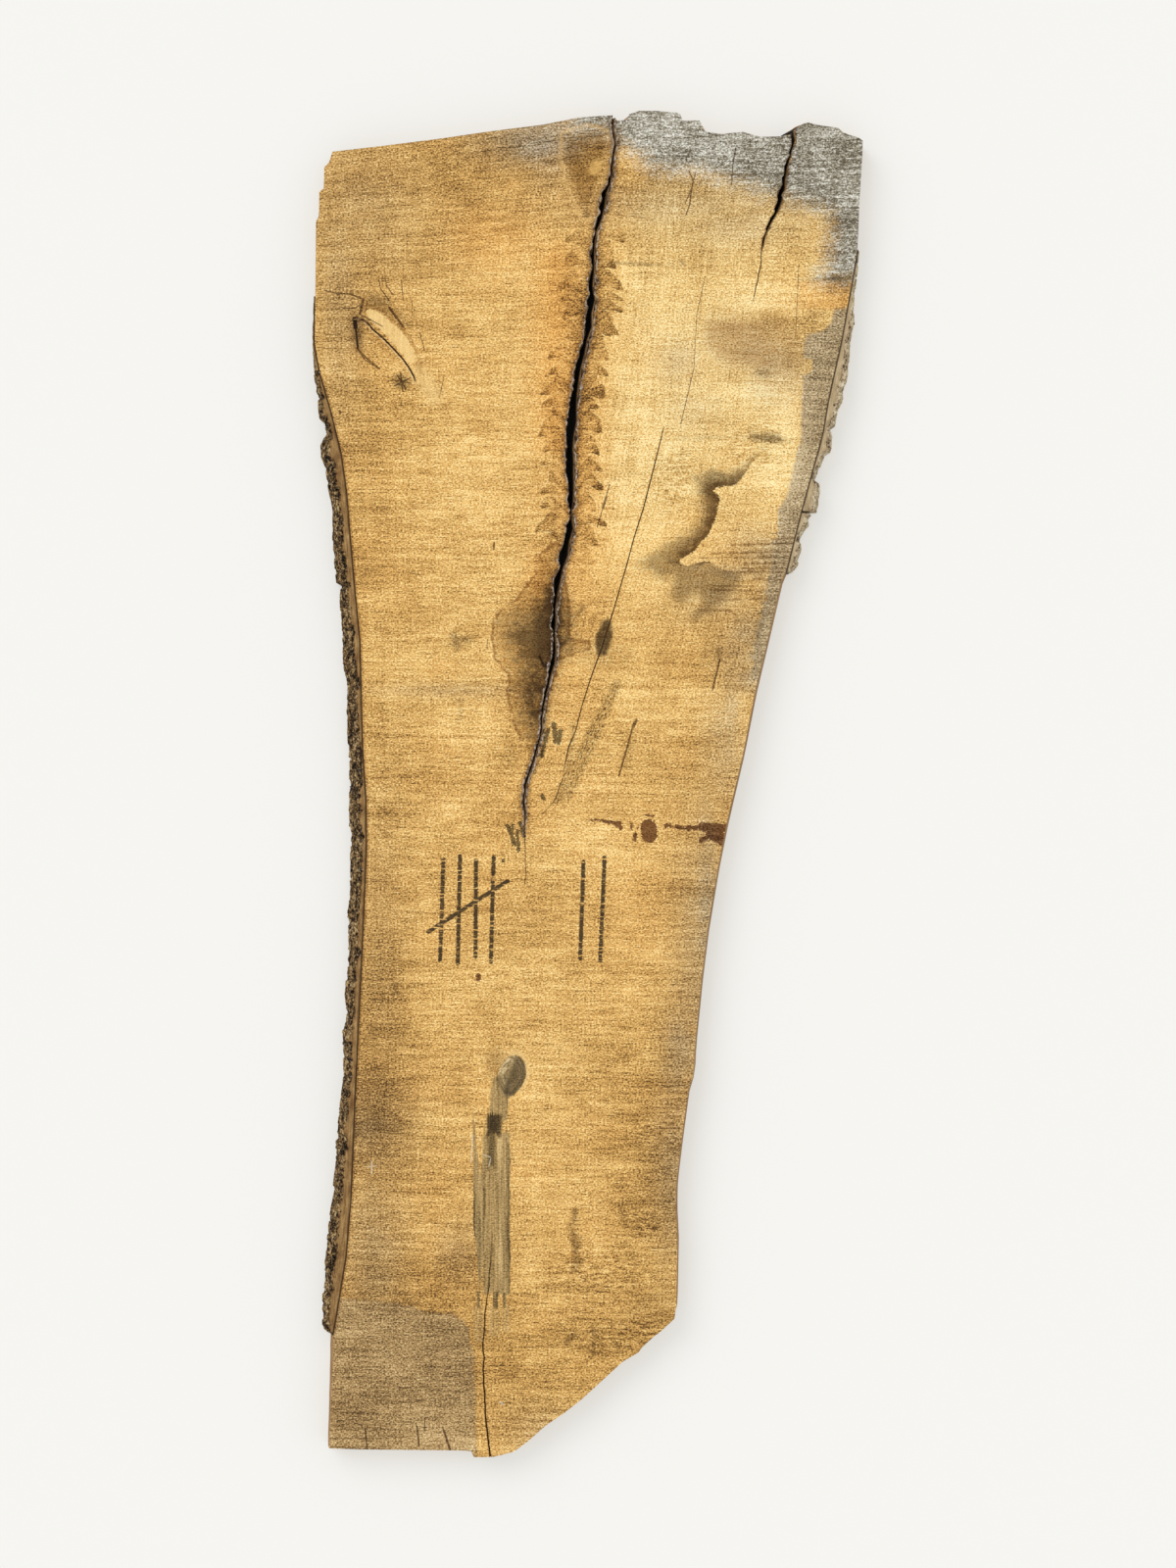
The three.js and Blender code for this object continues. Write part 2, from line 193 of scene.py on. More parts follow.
def crack_x(crack, line, y, wall, level):
    """X of a crack's wall: its middle, moved by half its width to the left, right or not at all
    as wall is -1, 1 or 0. Towards the back the crack moves across and narrows."""
    table = [row for row in line if row[0] < crack[0][0]] + crack
    tip = crack[0][0]
    depth = (1 - level) * (y > tip - 60)
    lean = CRACK_LEAN * depth * ease((y - tip + 60) / 120)
    width = along(table, y, 2) * (1 - (1 - BACK_NARROWING) * (1 - level))
    ragged = RAGGED * (cloud(y, y * 0 + wall * 31, 12, 20, 5, 2) - 0.5) * ease(width / 6 - 0.4)
    wiggle = WIGGLE * (cloud(y, y * 0, 26, 20, 6, 3) - 0.5) * ease((y + 1220) / 100)
    return along(table, y) + wiggle + lean + wall * (np.maximum(width, 0.5) / 2 + ragged)


def fanned(line, y, level):
    """X of a line that follows its table above the slanted corner, and below that keeps its share
    of the way from the main line to the right edge."""
    start = line[0][0]
    main = crack_x(MAIN_CRACK, MAIN_LINE, y, 0, level)
    room = edge_x(1, y, level) - main
    main_start = along(MAIN_LINE, start)
    share = (line[0][1] - main_start) / (along(RIGHT_WOOD, start) - main_start)
    return np.where(y < start, main + share * room, along(line, y))


def guides(y, level):
    """X of each guide line across the slab at y, from the left edge to the right: the edges, and
    the left wall, middle and right wall of each of the three lines between them."""
    face = fanned(FACE_LINE, y, level)
    half = np.where(y < FACE_LINE[0][0], 0.3, along(FACE_LINE, y, 2) / 2)
    low_second = fanned(SECOND_LINE, y, level)
    walls = []
    for wall in (-1, 0, 1):
        high = crack_x(SECOND_CRACK, SECOND_LINE, y, wall, level)
        walls.append(np.where(y < SECOND_LINE[0][0], low_second + wall * 0.25, high))
    return [
        edge_x(-1, y, level),
        crack_x(MAIN_CRACK, MAIN_LINE, y, -1, level),
        crack_x(MAIN_CRACK, MAIN_LINE, y, 0, level),
        crack_x(MAIN_CRACK, MAIN_LINE, y, 1, level),
        face - half, face, face + half,
        *walls,
        edge_x(1, y, level),
    ]


def column_plan():
    """For each column of the grid: the guides on its left and right, its share of the way between
    them, and whether the coarse grid of the back face has it too."""
    left, right, share, coarse = [], [], [], []
    spans = [(0, 1, PANEL_CELLS[0]), (1, 2, 1), (2, 3, 1), (3, 4, PANEL_CELLS[1]), (4, 5, 1),
             (5, 6, 1), (6, 7, PANEL_CELLS[2]), (7, 8, 1), (8, 9, 1), (9, 10, PANEL_CELLS[3])]
    for a, b, cells in spans:
        for k in range(cells):
            left.append(a)
            right.append(b)
            share.append(k / cells)
            coarse.append(cells == 1 or k % CELLS_PER_STEP == 0)
    left.append(9)
    right.append(10)
    share.append(1.0)
    coarse.append(True)
    return np.array(left), np.array(right), np.array(share), np.array(coarse)


COLUMN_LEFT, COLUMN_RIGHT, COLUMN_SHARE, COLUMN_COARSE = column_plan()
COLUMNS = len(COLUMN_SHARE)
MAIN_COLUMN = PANEL_CELLS[0] + 1
FACE_COLUMN = MAIN_COLUMN + 1 + PANEL_CELLS[1] + 1
SECOND_COLUMN = FACE_COLUMN + 1 + PANEL_CELLS[2] + 1


def columns_x(y, level):
    """X of every column where the grid's y is given: each column blends its two guides, and the
    first panel is drawn closer together towards the crack and round the scar."""
    lines = np.stack(guides(y, level))
    columns = np.arange(COLUMNS)
    share = np.broadcast_to(COLUMN_SHARE, y.shape)
    near_scar = ease(1 - np.abs(y - 800) / 190)
    crowd = share + 0.055 * np.sin(2 * math.pi * share) * (1 - near_scar)
    scar = share - 0.115 * np.sin(2 * math.pi * share) * near_scar
    panel = np.where(columns < MAIN_COLUMN - 1, crowd + scar - share, share)
    a = np.take_along_axis(lines, np.broadcast_to(COLUMN_LEFT, y.shape)[None], 0)[0]
    b = np.take_along_axis(lines, np.broadcast_to(COLUMN_RIGHT, y.shape)[None], 0)[0]
    return a + (b - a) * panel


def snapped(x, outline):
    """How far each column moves at a sawn end so that one stands on each corner of its outline.
    Columns between them share the move out evenly, and the lines' own columns stay."""
    still = [0, COLUMNS - 1]
    for middle in (MAIN_COLUMN, FACE_COLUMN, SECOND_COLUMN):
        still += [middle - 1, middle, middle + 1]
    moves = {column: 0.0 for column in still}
    last = 0
    for corner in outline[:, 0]:
        column = max(int(np.argmin(np.abs(x - corner))), last + 1)
        if column < COLUMNS and column not in moves and abs(corner - x[column]) < 14:
            moves[column] = corner - x[column]
            last = column
    columns = sorted(moves)
    return np.interp(np.arange(COLUMNS), columns, [moves[c] for c in columns])


def face_grid():
    """X and y of the sawn face's grid. Rows are level lines, except that in the last stretch to
    each end they close up evenly to the sawn end's own outline."""
    row = np.linspace(-HALF_LENGTH, HALF_LENGTH, ROWS + 1)[:, None] * np.ones(COLUMNS)
    fork, butt = np.array(FORK_END, float), np.array(BUTT_END, float)
    start = HALF_LENGTH - END_ZONE
    y = row.copy()
    fork_move, butt_move = 0.0, 0.0
    for attempt in range(8):
        x = columns_x(y, 1.0)
        if attempt == 4:
            fork_move, butt_move = snapped(x[-1], fork), snapped(x[0], butt)
        x = x + fork_move * ease((row - start) / END_ZONE) + butt_move * ease((-row - start) / END_ZONE)
        fork_y = np.interp(x, fork[:, 0], fork[:, 1])
        butt_y = np.interp(x, butt[:, 0], butt[:, 1])
        high = start + (row - start) * (fork_y - start) / END_ZONE
        low = -start + (row + start) * (butt_y + start) / -END_ZONE
        y = np.where(row > start, high, np.where(row < -start, low, row))
    return x, y, row


def distance_to(x, y, points):
    """Distance of every grid point to a broken line, and its share of the way along it: the least,
    over the line's pieces, of the distance to the nearest point of that piece."""
    best = np.full(x.shape, np.inf)
    share = np.zeros(x.shape)
    last = len(points) - 1
    for k in range(last):
        (ax, ay), (bx, by) = points[k], points[k + 1]
        dx, dy = bx - ax, by - ay
        t = np.clip(((x - ax) * dx + (y - ay) * dy) / (dx * dx + dy * dy), 0, 1)
        d = np.hypot(x - ax - t * dx, y - ay - t * dy)
        share = np.where(d < best, (k + t) / last, share)
        best = np.minimum(best, d)
    return best, share


def spot(x, y, middle, radii, turn=0.0, soft=0.5, ragged=0.25, seed=1):
    """A blot: 1 inside a turned ellipse and 0 outside, over an eased rim that wanders with noise."""
    a = math.radians(turn)
    u = (x - middle[0]) * math.cos(a) + (y - middle[1]) * math.sin(a)
    v = -(x - middle[0]) * math.sin(a) + (y - middle[1]) * math.cos(a)
    wander = cloud(x, y, min(radii), min(radii), seed, 3) - 0.5
    reach = np.hypot(u / radii[0], v / radii[1]) + 2 * ragged * wander
    return ease((1 + soft / 2 - reach) / soft)


# The torn branch scar near the fork end's left corner
SCAR_HOLLOW = {"middle": (-356, 806), "turn": -50, "half_length": 92, "half_width": 27, "depth": 4.5}
SCAR_ROUNDNESS = 16
SCAR_CHECK = [
    (-418, 792), (-421, 822), (-420, 842), (-401, 838), (-390, 824), (-374, 811), (-354, 791),
    (-335, 770), (-322, 751), (-313, 732),
]
KNOT = {"middle": (-138, -529), "across": 26, "along": 40, "turn": -12}


def scar_depth(x, y):
    """Depth of the scar: the cap of an ellipsoid sunk into the face, and a groove along its check
    that is deepest half way."""
    share = math.sqrt(1 - ((SCAR_ROUNDNESS - SCAR_HOLLOW["depth"]) / SCAR_ROUNDNESS) ** 2)
    a = math.radians(SCAR_HOLLOW["turn"])
    mx, my = SCAR_HOLLOW["middle"]
    u = ((x - mx) * math.cos(a) + (y - my) * math.sin(a)) * share / SCAR_HOLLOW["half_length"]
    v = (-(x - mx) * math.sin(a) + (y - my) * math.cos(a)) * share / SCAR_HOLLOW["half_width"]
    cap = SCAR_ROUNDNESS * np.sqrt(np.clip(1 - u * u - v * v, 0, 1))
    hollow = np.clip(cap - (SCAR_ROUNDNESS - SCAR_HOLLOW["depth"]), 0, None)
    d, t = distance_to(x, y, SCAR_CHECK)
    opening = 0.35 + 0.65 * np.sin(math.pi * t)
    groove = 9 * opening * np.clip(1 - d / (3.6 * opening), 0, 1)
    return np.maximum(hollow, groove)


def feather(x, y, from_crack):
    """How strongly the crotch's feather figure shows: full beside the crack, fading out by 62 mm
    and past the ends of its stretch, with a scalloped rim."""
    rim = 58 + 26 * (cloud(x * 0, y, 50, 26, 41, 2) - 0.5)
    stretch = ease((y - 330) / 120) * ease((1060 - y) / 120)
    return ease((rim - np.abs(from_crack)) / 16) * stretch


def torn_grain(x, y):
    """Where the saw tore the grain: patches low on the right, and a few by the fork."""
    patches = [
        ((123, -634), (40, 42)), ((96, -800), (30, 36)), ((20, -890), (85, 60)),
        ((60, -1000), (70, 34)), ((150, 560), (40, 60)), ((300, 610), (60, 50)),
    ]
    spots = [spot(x, y, m, r, soft=0.8, seed=60 + k) for k, (m, r) in enumerate(patches)]
    return np.max(spots, axis=0)


def face_relief(x, y, row, from_crack):
    """Depth of the sawn face below its plane: saw marks along the rows, scallops that rise away
    from the crack in the feather figure, torn grain, the scar and a dished knot."""
    marks = cloud(x, row, 170, 5.6, 11, 2) * (0.45 + 0.5 * cloud(x, row, 420, 60, 12))
    away = np.abs(from_crack)
    scallop = np.abs(cloud(away + 40 * np.sign(from_crack), y - 0.9 * away, 19, 9, 21, 2) - 0.5) * 2
    tear = np.abs(cloud(x + 0.4 * y, y, 24, 7, 31, 2) - 0.5) * 2
    kx, ky = KNOT["middle"]
    knot = np.hypot((x - kx) / KNOT["across"], (y - ky) / KNOT["along"])
    dish = 1.3 * ease(1.25 - knot) + 0.35 * np.sin(knot * 14) * ease(1.1 - knot)
    return (0.75 * marks + 1.7 * scallop * feather(x, y, from_crack) + 1.9 * tear * torn_grain(x, y)
            + dish + scar_depth(x, y))


def boundary():
    """The rim of the sawn face as (row, column) pairs, once round with the wood on its left: the
    butt, the right edge, the fork end with a trip down and up each crack, and the left edge."""
    last = COLUMNS - 1
    main, second = MAIN_COLUMN, SECOND_COLUMN
    corners = [
        (0, 0), (0, last), (ROWS, last), (ROWS, second + 1), (SECOND_TIP_ROW, second + 1),
        (SECOND_TIP_ROW, second - 1), (ROWS, second - 1), (ROWS, main + 1), (MAIN_TIP_ROW, main + 1),
        (MAIN_TIP_ROW, main - 1), (ROWS, main - 1), (ROWS, 0), (0, 0),
    ]
    rim = []
    for (r0, c0), (r1, c1) in zip(corners, corners[1:]):
        steps = max(abs(r1 - r0), abs(c1 - c0))
        rim += [(r0 + (r1 - r0) * k // steps, c0 + (c1 - c0) * k // steps) for k in range(steps)]
    return np.array(rim)


def open_cells(rows, columns, row_scale):
    """Which cells of a grid are the open cracks: the two columns of cells of each crack above its
    tip. columns gives each grid column's number on the fine grid."""
    cells = np.zeros((rows, len(columns) - 1), bool)
    for middle, tip in ((MAIN_COLUMN, MAIN_TIP_ROW), (SECOND_COLUMN, SECOND_TIP_ROW)):
        inside = (columns[:-1] >= middle - 1) & (columns[:-1] <= middle)
        cells[tip // row_scale:, inside] = True
    return cells


def grid_quads(number, closed):
    """Corner numbers of each cell of a grid that isn't in closed, counted so it faces up."""
    quads = np.stack([number[:-1, :-1], number[:-1, 1:], number[1:, 1:], number[1:, :-1]], -1)
    return quads[~closed]


def wood_surface():
    """The whole skin of the wood: the fine grid of the sawn face, a coarser grid of the back, and
    between them walls of a few rings. Each ring point lies on the way from the face's rim to the
    back's: by the square of its level at a natural edge, evenly in a crack. Returns points, faces
    and the arrays that the finish reads at each point."""
    x, y, row = face_grid()
    middle = crack_x(MAIN_CRACK, MAIN_LINE, y, 0, 1.0)
    from_crack = x - middle
    z = THICKNESS - face_relief(x, y, row, from_crack)
    for column, table in ((MAIN_COLUMN, MAIN_SINK), (FACE_COLUMN, FACE_SINK),
                          (SECOND_COLUMN, SECOND_SINK)):
        z[:, column] -= along(table, y[:, column])
    fine = np.arange(x.size).reshape(x.shape)
    points = [np.stack([x, y, z], -1).reshape(-1, 3)]
    faces = grid_quads(fine, open_cells(ROWS, np.arange(COLUMNS), 1)).tolist()

    back_columns = np.flatnonzero(COLUMN_COARSE)
    back_y = y[::ROWS_PER_STEP][:, back_columns]
    full_y = y[::ROWS_PER_STEP]
    back_x = columns_x(full_y, 0.0)[:, back_columns]
    back_relief = 0.5 * cloud(back_x, back_y, 90, 9, 71, 2)
    back = x.size + np.arange(back_x.size).reshape(back_x.shape)
    points.append(np.stack([back_x, back_y, back_relief], -1).reshape(-1, 3))
    closed = open_cells(ROWS // ROWS_PER_STEP, back_columns, ROWS_PER_STEP)
    faces += grid_quads(back, closed)[:, ::-1].tolist()

    rim = boundary()
    is_step = (rim[:, 0] % ROWS_PER_STEP == 0) & COLUMN_COARSE[rim[:, 1]]
    step_places = np.flatnonzero(is_step)
    steps = rim[step_places]
    upper = points[0][fine[steps[:, 0], steps[:, 1]]]
    back_number = np.searchsorted(back_columns, steps[:, 1])
    lowest = back[steps[:, 0] // ROWS_PER_STEP, back_number]
    lower = points[1][lowest - x.size]
    in_crack = np.isin(steps[:, 1], [MAIN_COLUMN - 1, MAIN_COLUMN, MAIN_COLUMN + 1,
                                     SECOND_COLUMN - 1, SECOND_COLUMN, SECOND_COLUMN + 1])
    power = np.where(in_crack & (steps[:, 0] >= MAIN_TIP_ROW), 1.0, 2.0)
    ahead, behind = np.roll(upper, -1, 0), np.roll(upper, 1, 0)
    outward = np.stack([ahead[:, 1] - behind[:, 1], behind[:, 0] - ahead[:, 0]], -1)
    outward /= np.maximum(np.hypot(*outward.T), 1e-6)[:, None]
    rings = [lowest]
    first = x.size + back_x.size
    for level in (0.25, 0.5, 0.72, 0.9):
        blend = (level ** power)[:, None]
        ring = lower + (upper - lower) * blend
        ring[:, 2] = level * (THICKNESS - 1)
        rough = cloud(ring[:, 0] + ring[:, 1], ring[:, 2] + 0 * ring[:, 0], 23, 17, 81, 2)
        ring[:, :2] -= outward * (1.3 * rough * np.where(in_crack, 0.4, 1))[:, None]
        points.append(ring)
        rings.append(first + np.arange(len(steps)))
        first += len(steps)
    for low, high in zip(rings, rings[1:]):
        faces += np.stack([low, np.roll(low, -1), np.roll(high, -1), high], -1).tolist()
    top = fine[rim[:, 0], rim[:, 1]]
    high = rings[-1]
    for k, place in enumerate(step_places):
        after = step_places[k + 1] if k + 1 < len(step_places) else len(rim)
        here, following = int(high[k]), int(high[(k + 1) % len(high)])
        run = [int(top[p % len(rim)]) for p in range(place, after + 1)]
        faces += [[here, b, a] for a, b in zip(run, run[1:])]
        faces.append([here, following, run[-1]])
    return np.concatenate(points), faces, (x, y, row), (back_x, back_y)


def used_only(points, faces):
    """Drops the points that no face uses, and counts the faces' corners again to match."""
    used = np.zeros(len(points), bool)
    used[np.concatenate([np.array(f) for f in faces])] = True
    number = np.cumsum(used) - 1
    return used, [[int(number[i]) for i in f] for f in faces]


def piece(name, points, faces, node, material, layers):
    """Makes a mesh from points in millimetres, with one named colour layer for each four numbers
    that the finish reads at a point, and puts it in the place of a node of the frame."""
    used, faces = used_only(points, faces)
    mesh = bpy.data.meshes.new(name)
    mesh.from_pydata((points[used] / METRE).tolist(), [], faces)
    for layer, values in layers.items():
        attribute = mesh.attributes.new(layer, "FLOAT_COLOR", "POINT")
        attribute.data.foreach_set("color", values[used].astype(np.float32).ravel())
    mesh.shade_smooth()
    mesh.set_sharp_from_angle(angle=math.radians(40))
    mesh.materials.append(material)
    thing = bpy.data.objects.new(name, mesh)
    bpy.context.scene.collection.objects.link(thing)
    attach(thing, "root")
    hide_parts(node)
    return thing


def glow(x, y, middle, radii):
    """A soft round tint: falls from 1 by e to the minus squared distance, in radii."""
    return np.exp(-((x - middle[0]) / radii[0]) ** 2 - ((y - middle[1]) / radii[1]) ** 2)


# How light the dry wood is, as ((x, y), (radius across, radius along), how much lighter)
TONE = 0.60
TONES = [
    ((-330, 1060), (230, 120), -0.09), ((-440, 850), (90, 200), -0.12), ((-190, 905), (90, 60), 0.0),
    ((-110, 905), (60, 90), 0.1), ((-420, 560), (70, 260), -0.14), ((-170, 480), (170, 330), 0.08),
    ((-330, 330), (50, 330), -0.07), ((-260, 200), (90, 180), 0.04), ((-330, 30), (60, 120), -0.12),
    ((-240, -40), (110, 110), 0.05), ((-250, -230), (240, 70), -0.04), ((-130, -430), (180, 110), 0.0),
    ((-390, -480), (70, 300), -0.2), ((-370, -640), (120, 90), -0.14), ((-180, -790), (50, 160), -0.06),
    ((-70, -700), (140, 200), 0.02), ((-280, -1060), (260, 150), -0.17), ((60, -1010), (110, 90), -0.15),
    ((-330, -900), (150, 60), -0.18), ((0, 900), (80, 110), 0.05), ((90, 780), (150, 170), 0.17),
    ((150, 560), (110, 220), 0.17), ((60, 420), (70, 190), 0.1), ((330, 560), (110, 130), 0.14),
    ((250, 440), (60, 50), -0.02), ((120, 350), (90, 90), 0.06), ((260, 270), (120, 60), -0.1),
    ((130, 30), (200, 70), 0.0), ((0, -90), (120, 60), 0.14), ((180, -350), (60, 300), -0.1),
    ((130, -700), (80, 200), -0.22), ((60, -560), (60, 120), -0.07), ((-120, -60), (50, 50), -0.14),
    ((362, 640), (34, 110), 0.24), ((290, 700), (110, 40), 0.16), ((320, 900), (110, 70), 0.16),
    ((-330, 160), (50, 90), 0.14), ((-360, 1000), (120, 60), 0.06), ((-60, -540), (90, 60), 0.06),
    ((-320, -540), (60, 60), 0.06), ((300, 790), (90, 80), 0.08), ((-20, 230), (40, 30), 0.1),
    ((-450, 740), (40, 90), 0.14), ((-270, -240), (90, 60), 0.06), ((-26, 760), (36, 260), -0.1),
    ((-130, 1150), (150, 60), -0.14), ((400, 700), (50, 240), -0.12), ((342, 845), (44, 30), -0.2),
    ((-90, 360), (40, 40), -0.12), ((40, 1080), (50, 50), -0.14), ((455, 940), (30, 110), -0.2),
    ((190, 1000), (200, 44), 0.09), ((-160, 1000), (60, 50), 0.06), ((-20, 845), (30, 50), -0.08),
    ((100, 845), (30, 30), -0.1), ((402, 840), (22, 36), -0.12), ((-325, 845), (30, 30), -0.08),
    ((285, 765), (90, 40), 0.06), ((-240, 440), (54, 50), -0.11), ((-205, 280), (34, 30), -0.1),
    ((10, 285), (50, 28), -0.1), ((-384, 90), (24, 80), -0.1), ((150, 0), (80, 60), -0.07),
    ((-350, -380), (50, 130), -0.06), ((40, -775), (40, 50), -0.11), ((-235, -845), (44, 50), -0.08),
    ((-100, -925), (300, 36), -0.05), ((-290, -1090), (50, 46), 0.08), ((-145, -1050), (24, 50), -0.09),
    ((-420, -1160), (50, 60), -0.09), ((312, 425), (60, 30), -0.09), ((-26, 900), (60, 60), -0.08),
    ((-270, 1150), (50, 40), -0.08), ((-20, 1090), (30, 40), -0.08), ((20, 925), (50, 40), 0.1),
    ((-20, 600), (30, 160), 0.07), ((280, 600), (40, 50), 0.05), ((-140, 90), (30, 60), -0.08),
    ((100, 205), (34, 40), 0.06), ((-80, -200), (34, 50), -0.08), ((-440, -1170), (40, 50), -0.05),
    ((-390, -1000), (60, 40), -0.05), ((-20, 440), (16, 40), 0.1), ((280, 1005), (120, 44), 0.06),
    ((-72, 360), (20, 40), -0.1), ((165, 765), (44, 44), 0.06),
]
# Where the weather has dulled the wood a little, as (middle, radii, how much)
DULLS = [
    ((-420, 1050), (130, 150), 0.3), ((205, -330), (50, 260), 0.5), ((165, -700), (46, 170), 0.55),
    ((-400, -620), (80, 110), 0.4), ((250, 330), (100, 60), 0.3), ((310, 420), (60, 46), 0.5),
    ((290, 240), (60, 80), 0.45), ((250, 60), (46, 130), 0.4), ((-250, 170), (130, 14), 0.35),
    ((-90, -1170), (80, 50), 0.3), ((-450, 900), (40, 260), 0.35), ((-70, 1120), (50, 60), 0.4),
    ((-380, -300), (50, 300), 0.2), ((285, 795), (90, 60), 0.35), ((345, 330), (34, 70), 0.85),
    ((-390, -850), (60, 160), 0.45), ((-110, 1165), (110, 50), 0.75), ((345, 745), (60, 60), 0.5),
    ((180, 1050), (240, 46), 0.4),
    ((322, 250), (36, 70), 0.85), ((300, 190), (40, 30), 0.7), ((260, 130), (20, 160), 0.45),
    ((215, -250), (26, 220), 0.75), ((200, -560), (30, 120), 0.6), ((335, 415), (44, 36), 0.8),
    ((280, 385), (90, 20), 0.5), ((160, -520), (30, 60), 0.5), ((-235, -845), (44, 50), 0.3),
    ((280, 1015), (130, 44), 0.4), ((165, 765), (44, 44), 0.4), ((292, 275), (40, 50), 0.6),
    ((168, -480), (36, 90), 0.6), ((190, 680), (50, 40), 0.25),
]
# Broad bands that one pass of the saw left lighter: x from, x to, y from, y to, how much
LIGHT_BANDS = [(57, 101, 886, 939, 0.14), (385, 470, 862, 911, 0.06), (40, 300, 108, 172, 0.1)]
# Soft dark stains as (middle, radii, turn, softness of the rim, strength)
STAINS = [
    ((29, 264), (15, 36), -12, 0.6, 1.0), ((236, 556), (44, 15), 0, 1.5, 0.5),
    ((-140, 60), (16, 50), 0, 1.6, 0.25), ((20, 236), (60, 26), 0, 1.7, 0.4),
    ((-238, 260), (40, 16), 0, 1.6, 0.35), ((230, 235), (40, 50), 0, 1.8, 0.3),
    ((-60, 470), (10, 120), 0, 1.6, 0.35), ((-140, 60), (20, 90), 0, 1.8, 0.18),
    ((74, 62), (10, 46), -16, 1.5, 0.35), ((-418, 812), (12, 30), 0, 1.3, 0.6),
    ((-205, 1075), (70, 26), 0, 1.8, 0.28), ((-72, 372), (22, 40), 0, 1.5, 0.4),
    ((-420, -625), (40, 18), 0, 1.6, 0.4), ((-360, -625), (50, 16), 0, 1.6, 0.4),
    ((-345, -470), (26, 60), 0, 1.9, 0.25), ((326, 625), (46, 8), -3, 1.5, 0.5),
    ((210, 628), (90, 7), 2, 1.6, 0.3), ((455, 916), (36, 5), 0, 1.3, 0.55),
    ((80, 943), (74, 4), -3, 1.4, 0.5), ((105, -945), (60, 50), 0, 1.9, 0.3),
    ((318, 745), (26, 12), 0, 1.5, 0.45), ((309, 280), (8, 44), -12, 1.5, 0.5),
    ((-370, 868), (34, 14), -30, 1.6, 0.4), ((-345, 850), (20, 12), -50, 1.6, 0.35),
    ((-337, 730), (16, 14), 0, 1.4, 0.7), ((96, 398), (22, 10), 10, 1.7, 0.3),
    ((-378, 876), (24, 16), -35, 1.5, 0.5), ((-340, 842), (12, 28), 40, 1.5, 0.4),
    ((-168, -500), (16, 22), 0, 1.6, 0.35), ((-20, -838), (10, 40), 0, 1.8, 0.4),
    ((-24, -780), (8, 20), 0, 1.6, 0.35), ((-394, 180), (5, 30), 0, 1.6, 0.4),
]
# Outlines of the larger stains and weathered places, once round each
FOOT_STAIN = [
    (-63, 438), (-86, 415), (-97, 377), (-109, 361), (-130, 335), (-159, 314), (-171, 296),
    (-174, 262), (-167, 228), (-155, 212), (-141, 197), (-146, 170), (-144, 151), (-136, 124),
    (-130, 101), (-120, 78), (-101, 52), (-90, 60), (-84, 110), (-66, 180), (-52, 225), (-20, 238),
    (4, 244), (2, 256), (-34, 262), (-36, 330), (-44, 380), (-40, 430),
]
FOOT_CORE = [
    (-74, 352), (-97, 323), (-124, 308), (-149, 293), (-151, 270), (-136, 247), (-130, 224),
    (-120, 201), (-126, 170), (-117, 132), (-108, 96), (-96, 92), (-82, 140), (-74, 193), (-60, 226),
    (-36, 238), (-34, 277), (-40, 316), (-56, 352),
]
RIVER = [
    (316, 604), (300, 592), (284, 576), (268, 566), (250, 566), (232, 558), (214, 560), (202, 550),
    (198, 536), (202, 518), (206, 500), (202, 480), (192, 464), (178, 453), (160, 444), (142, 436),
    (128, 424), (110, 412), (98, 400), (100, 390), (118, 380), (134, 374), (150, 372), (160, 382),
    (176, 376), (196, 380), (230, 400), (270, 450), (300, 520), (330, 590),
]
RIVER_TAIL = [
    (158, 392), (190, 404), (230, 404), (262, 392), (282, 380), (278, 362), (264, 345), (250, 330),
    (236, 316), (214, 304), (198, 293), (182, 294), (184, 308), (198, 322), (204, 338), (194, 342),
    (186, 332), (172, 324), (154, 328), (146, 344), (152, 364), (148, 380),
]
# The clean wood along the river's crisp right side, which cuts it and its tail off sharply
RIVER_BANK = [
    (313, 602), (291, 573), (280, 556), (275, 549), (264, 539), (247, 540), (232, 536), (226, 531),
    (235, 524), (240, 518), (236, 507), (235, 492), (229, 476), (223, 463), (217, 450), (203, 436),
    (192, 421), (177, 412), (166, 407), (166, 400), (181, 395), (203, 402), (216, 405), (229, 398),
    (240, 390), (269, 384), (330, 388), (420, 480), (420, 620),
]
BROWN_PATCH = [
    (204, 851), (290, 852), (366, 850), (394, 812), (396, 760), (376, 740), (318, 733), (300, 745),
    (260, 752), (230, 770), (204, 792),
]
FORK_SILVER = [
    (-118, 1240), (-116, 1172), (-106, 1146), (-88, 1134), (-60, 1136), (-42, 1152), (-26, 1176),
    (4, 1186), (30, 1186), (52, 1172), (66, 1160), (86, 1146), (104, 1134), (120, 1118), (160, 1113),
    (205, 1112), (250, 1100), (292, 1086), (335, 1072), (378, 1056), (420, 1044), (443, 1034),
    (447, 1000), (441, 960), (436, 932), (418, 916), (520, 912), (520, 1240),
]
EDGE_GREY = [
    (447, 862), (438, 838), (424, 822), (402, 820), (392, 806), (389, 780), (388, 732), (386, 680),
    (386, 640), (384, 620), (378, 603), (371, 570), (362, 530), (354, 512), (342, 498),
    (348, 470), (336, 440), (330, 400), (322, 350), (310, 300), (300, 250), (292, 190), (330, 176),
    (520, 540), (520, 866),
]
CREAM_FLAKES = [((406, 838), (22, 17)), ((396, 756), (10, 12))]
LOW_LEFT = [
    (-490, -925), (-400, -934), (-340, -940), (-290, -955), (-240, -960), (-216, -985), (-206, -1040),
    (-200, -1240), (-490, -1240),
]
FORK_CONE = [
    (-42, 1176), (-44, 1140), (-38, 1110), (-28, 1080), (-18, 1055), (-8, 1031), (4, 1030),
    (6, 1045), (14, 1075), (24, 1100), (32, 1125), (38, 1160), (30, 1180), (0, 1188),
]
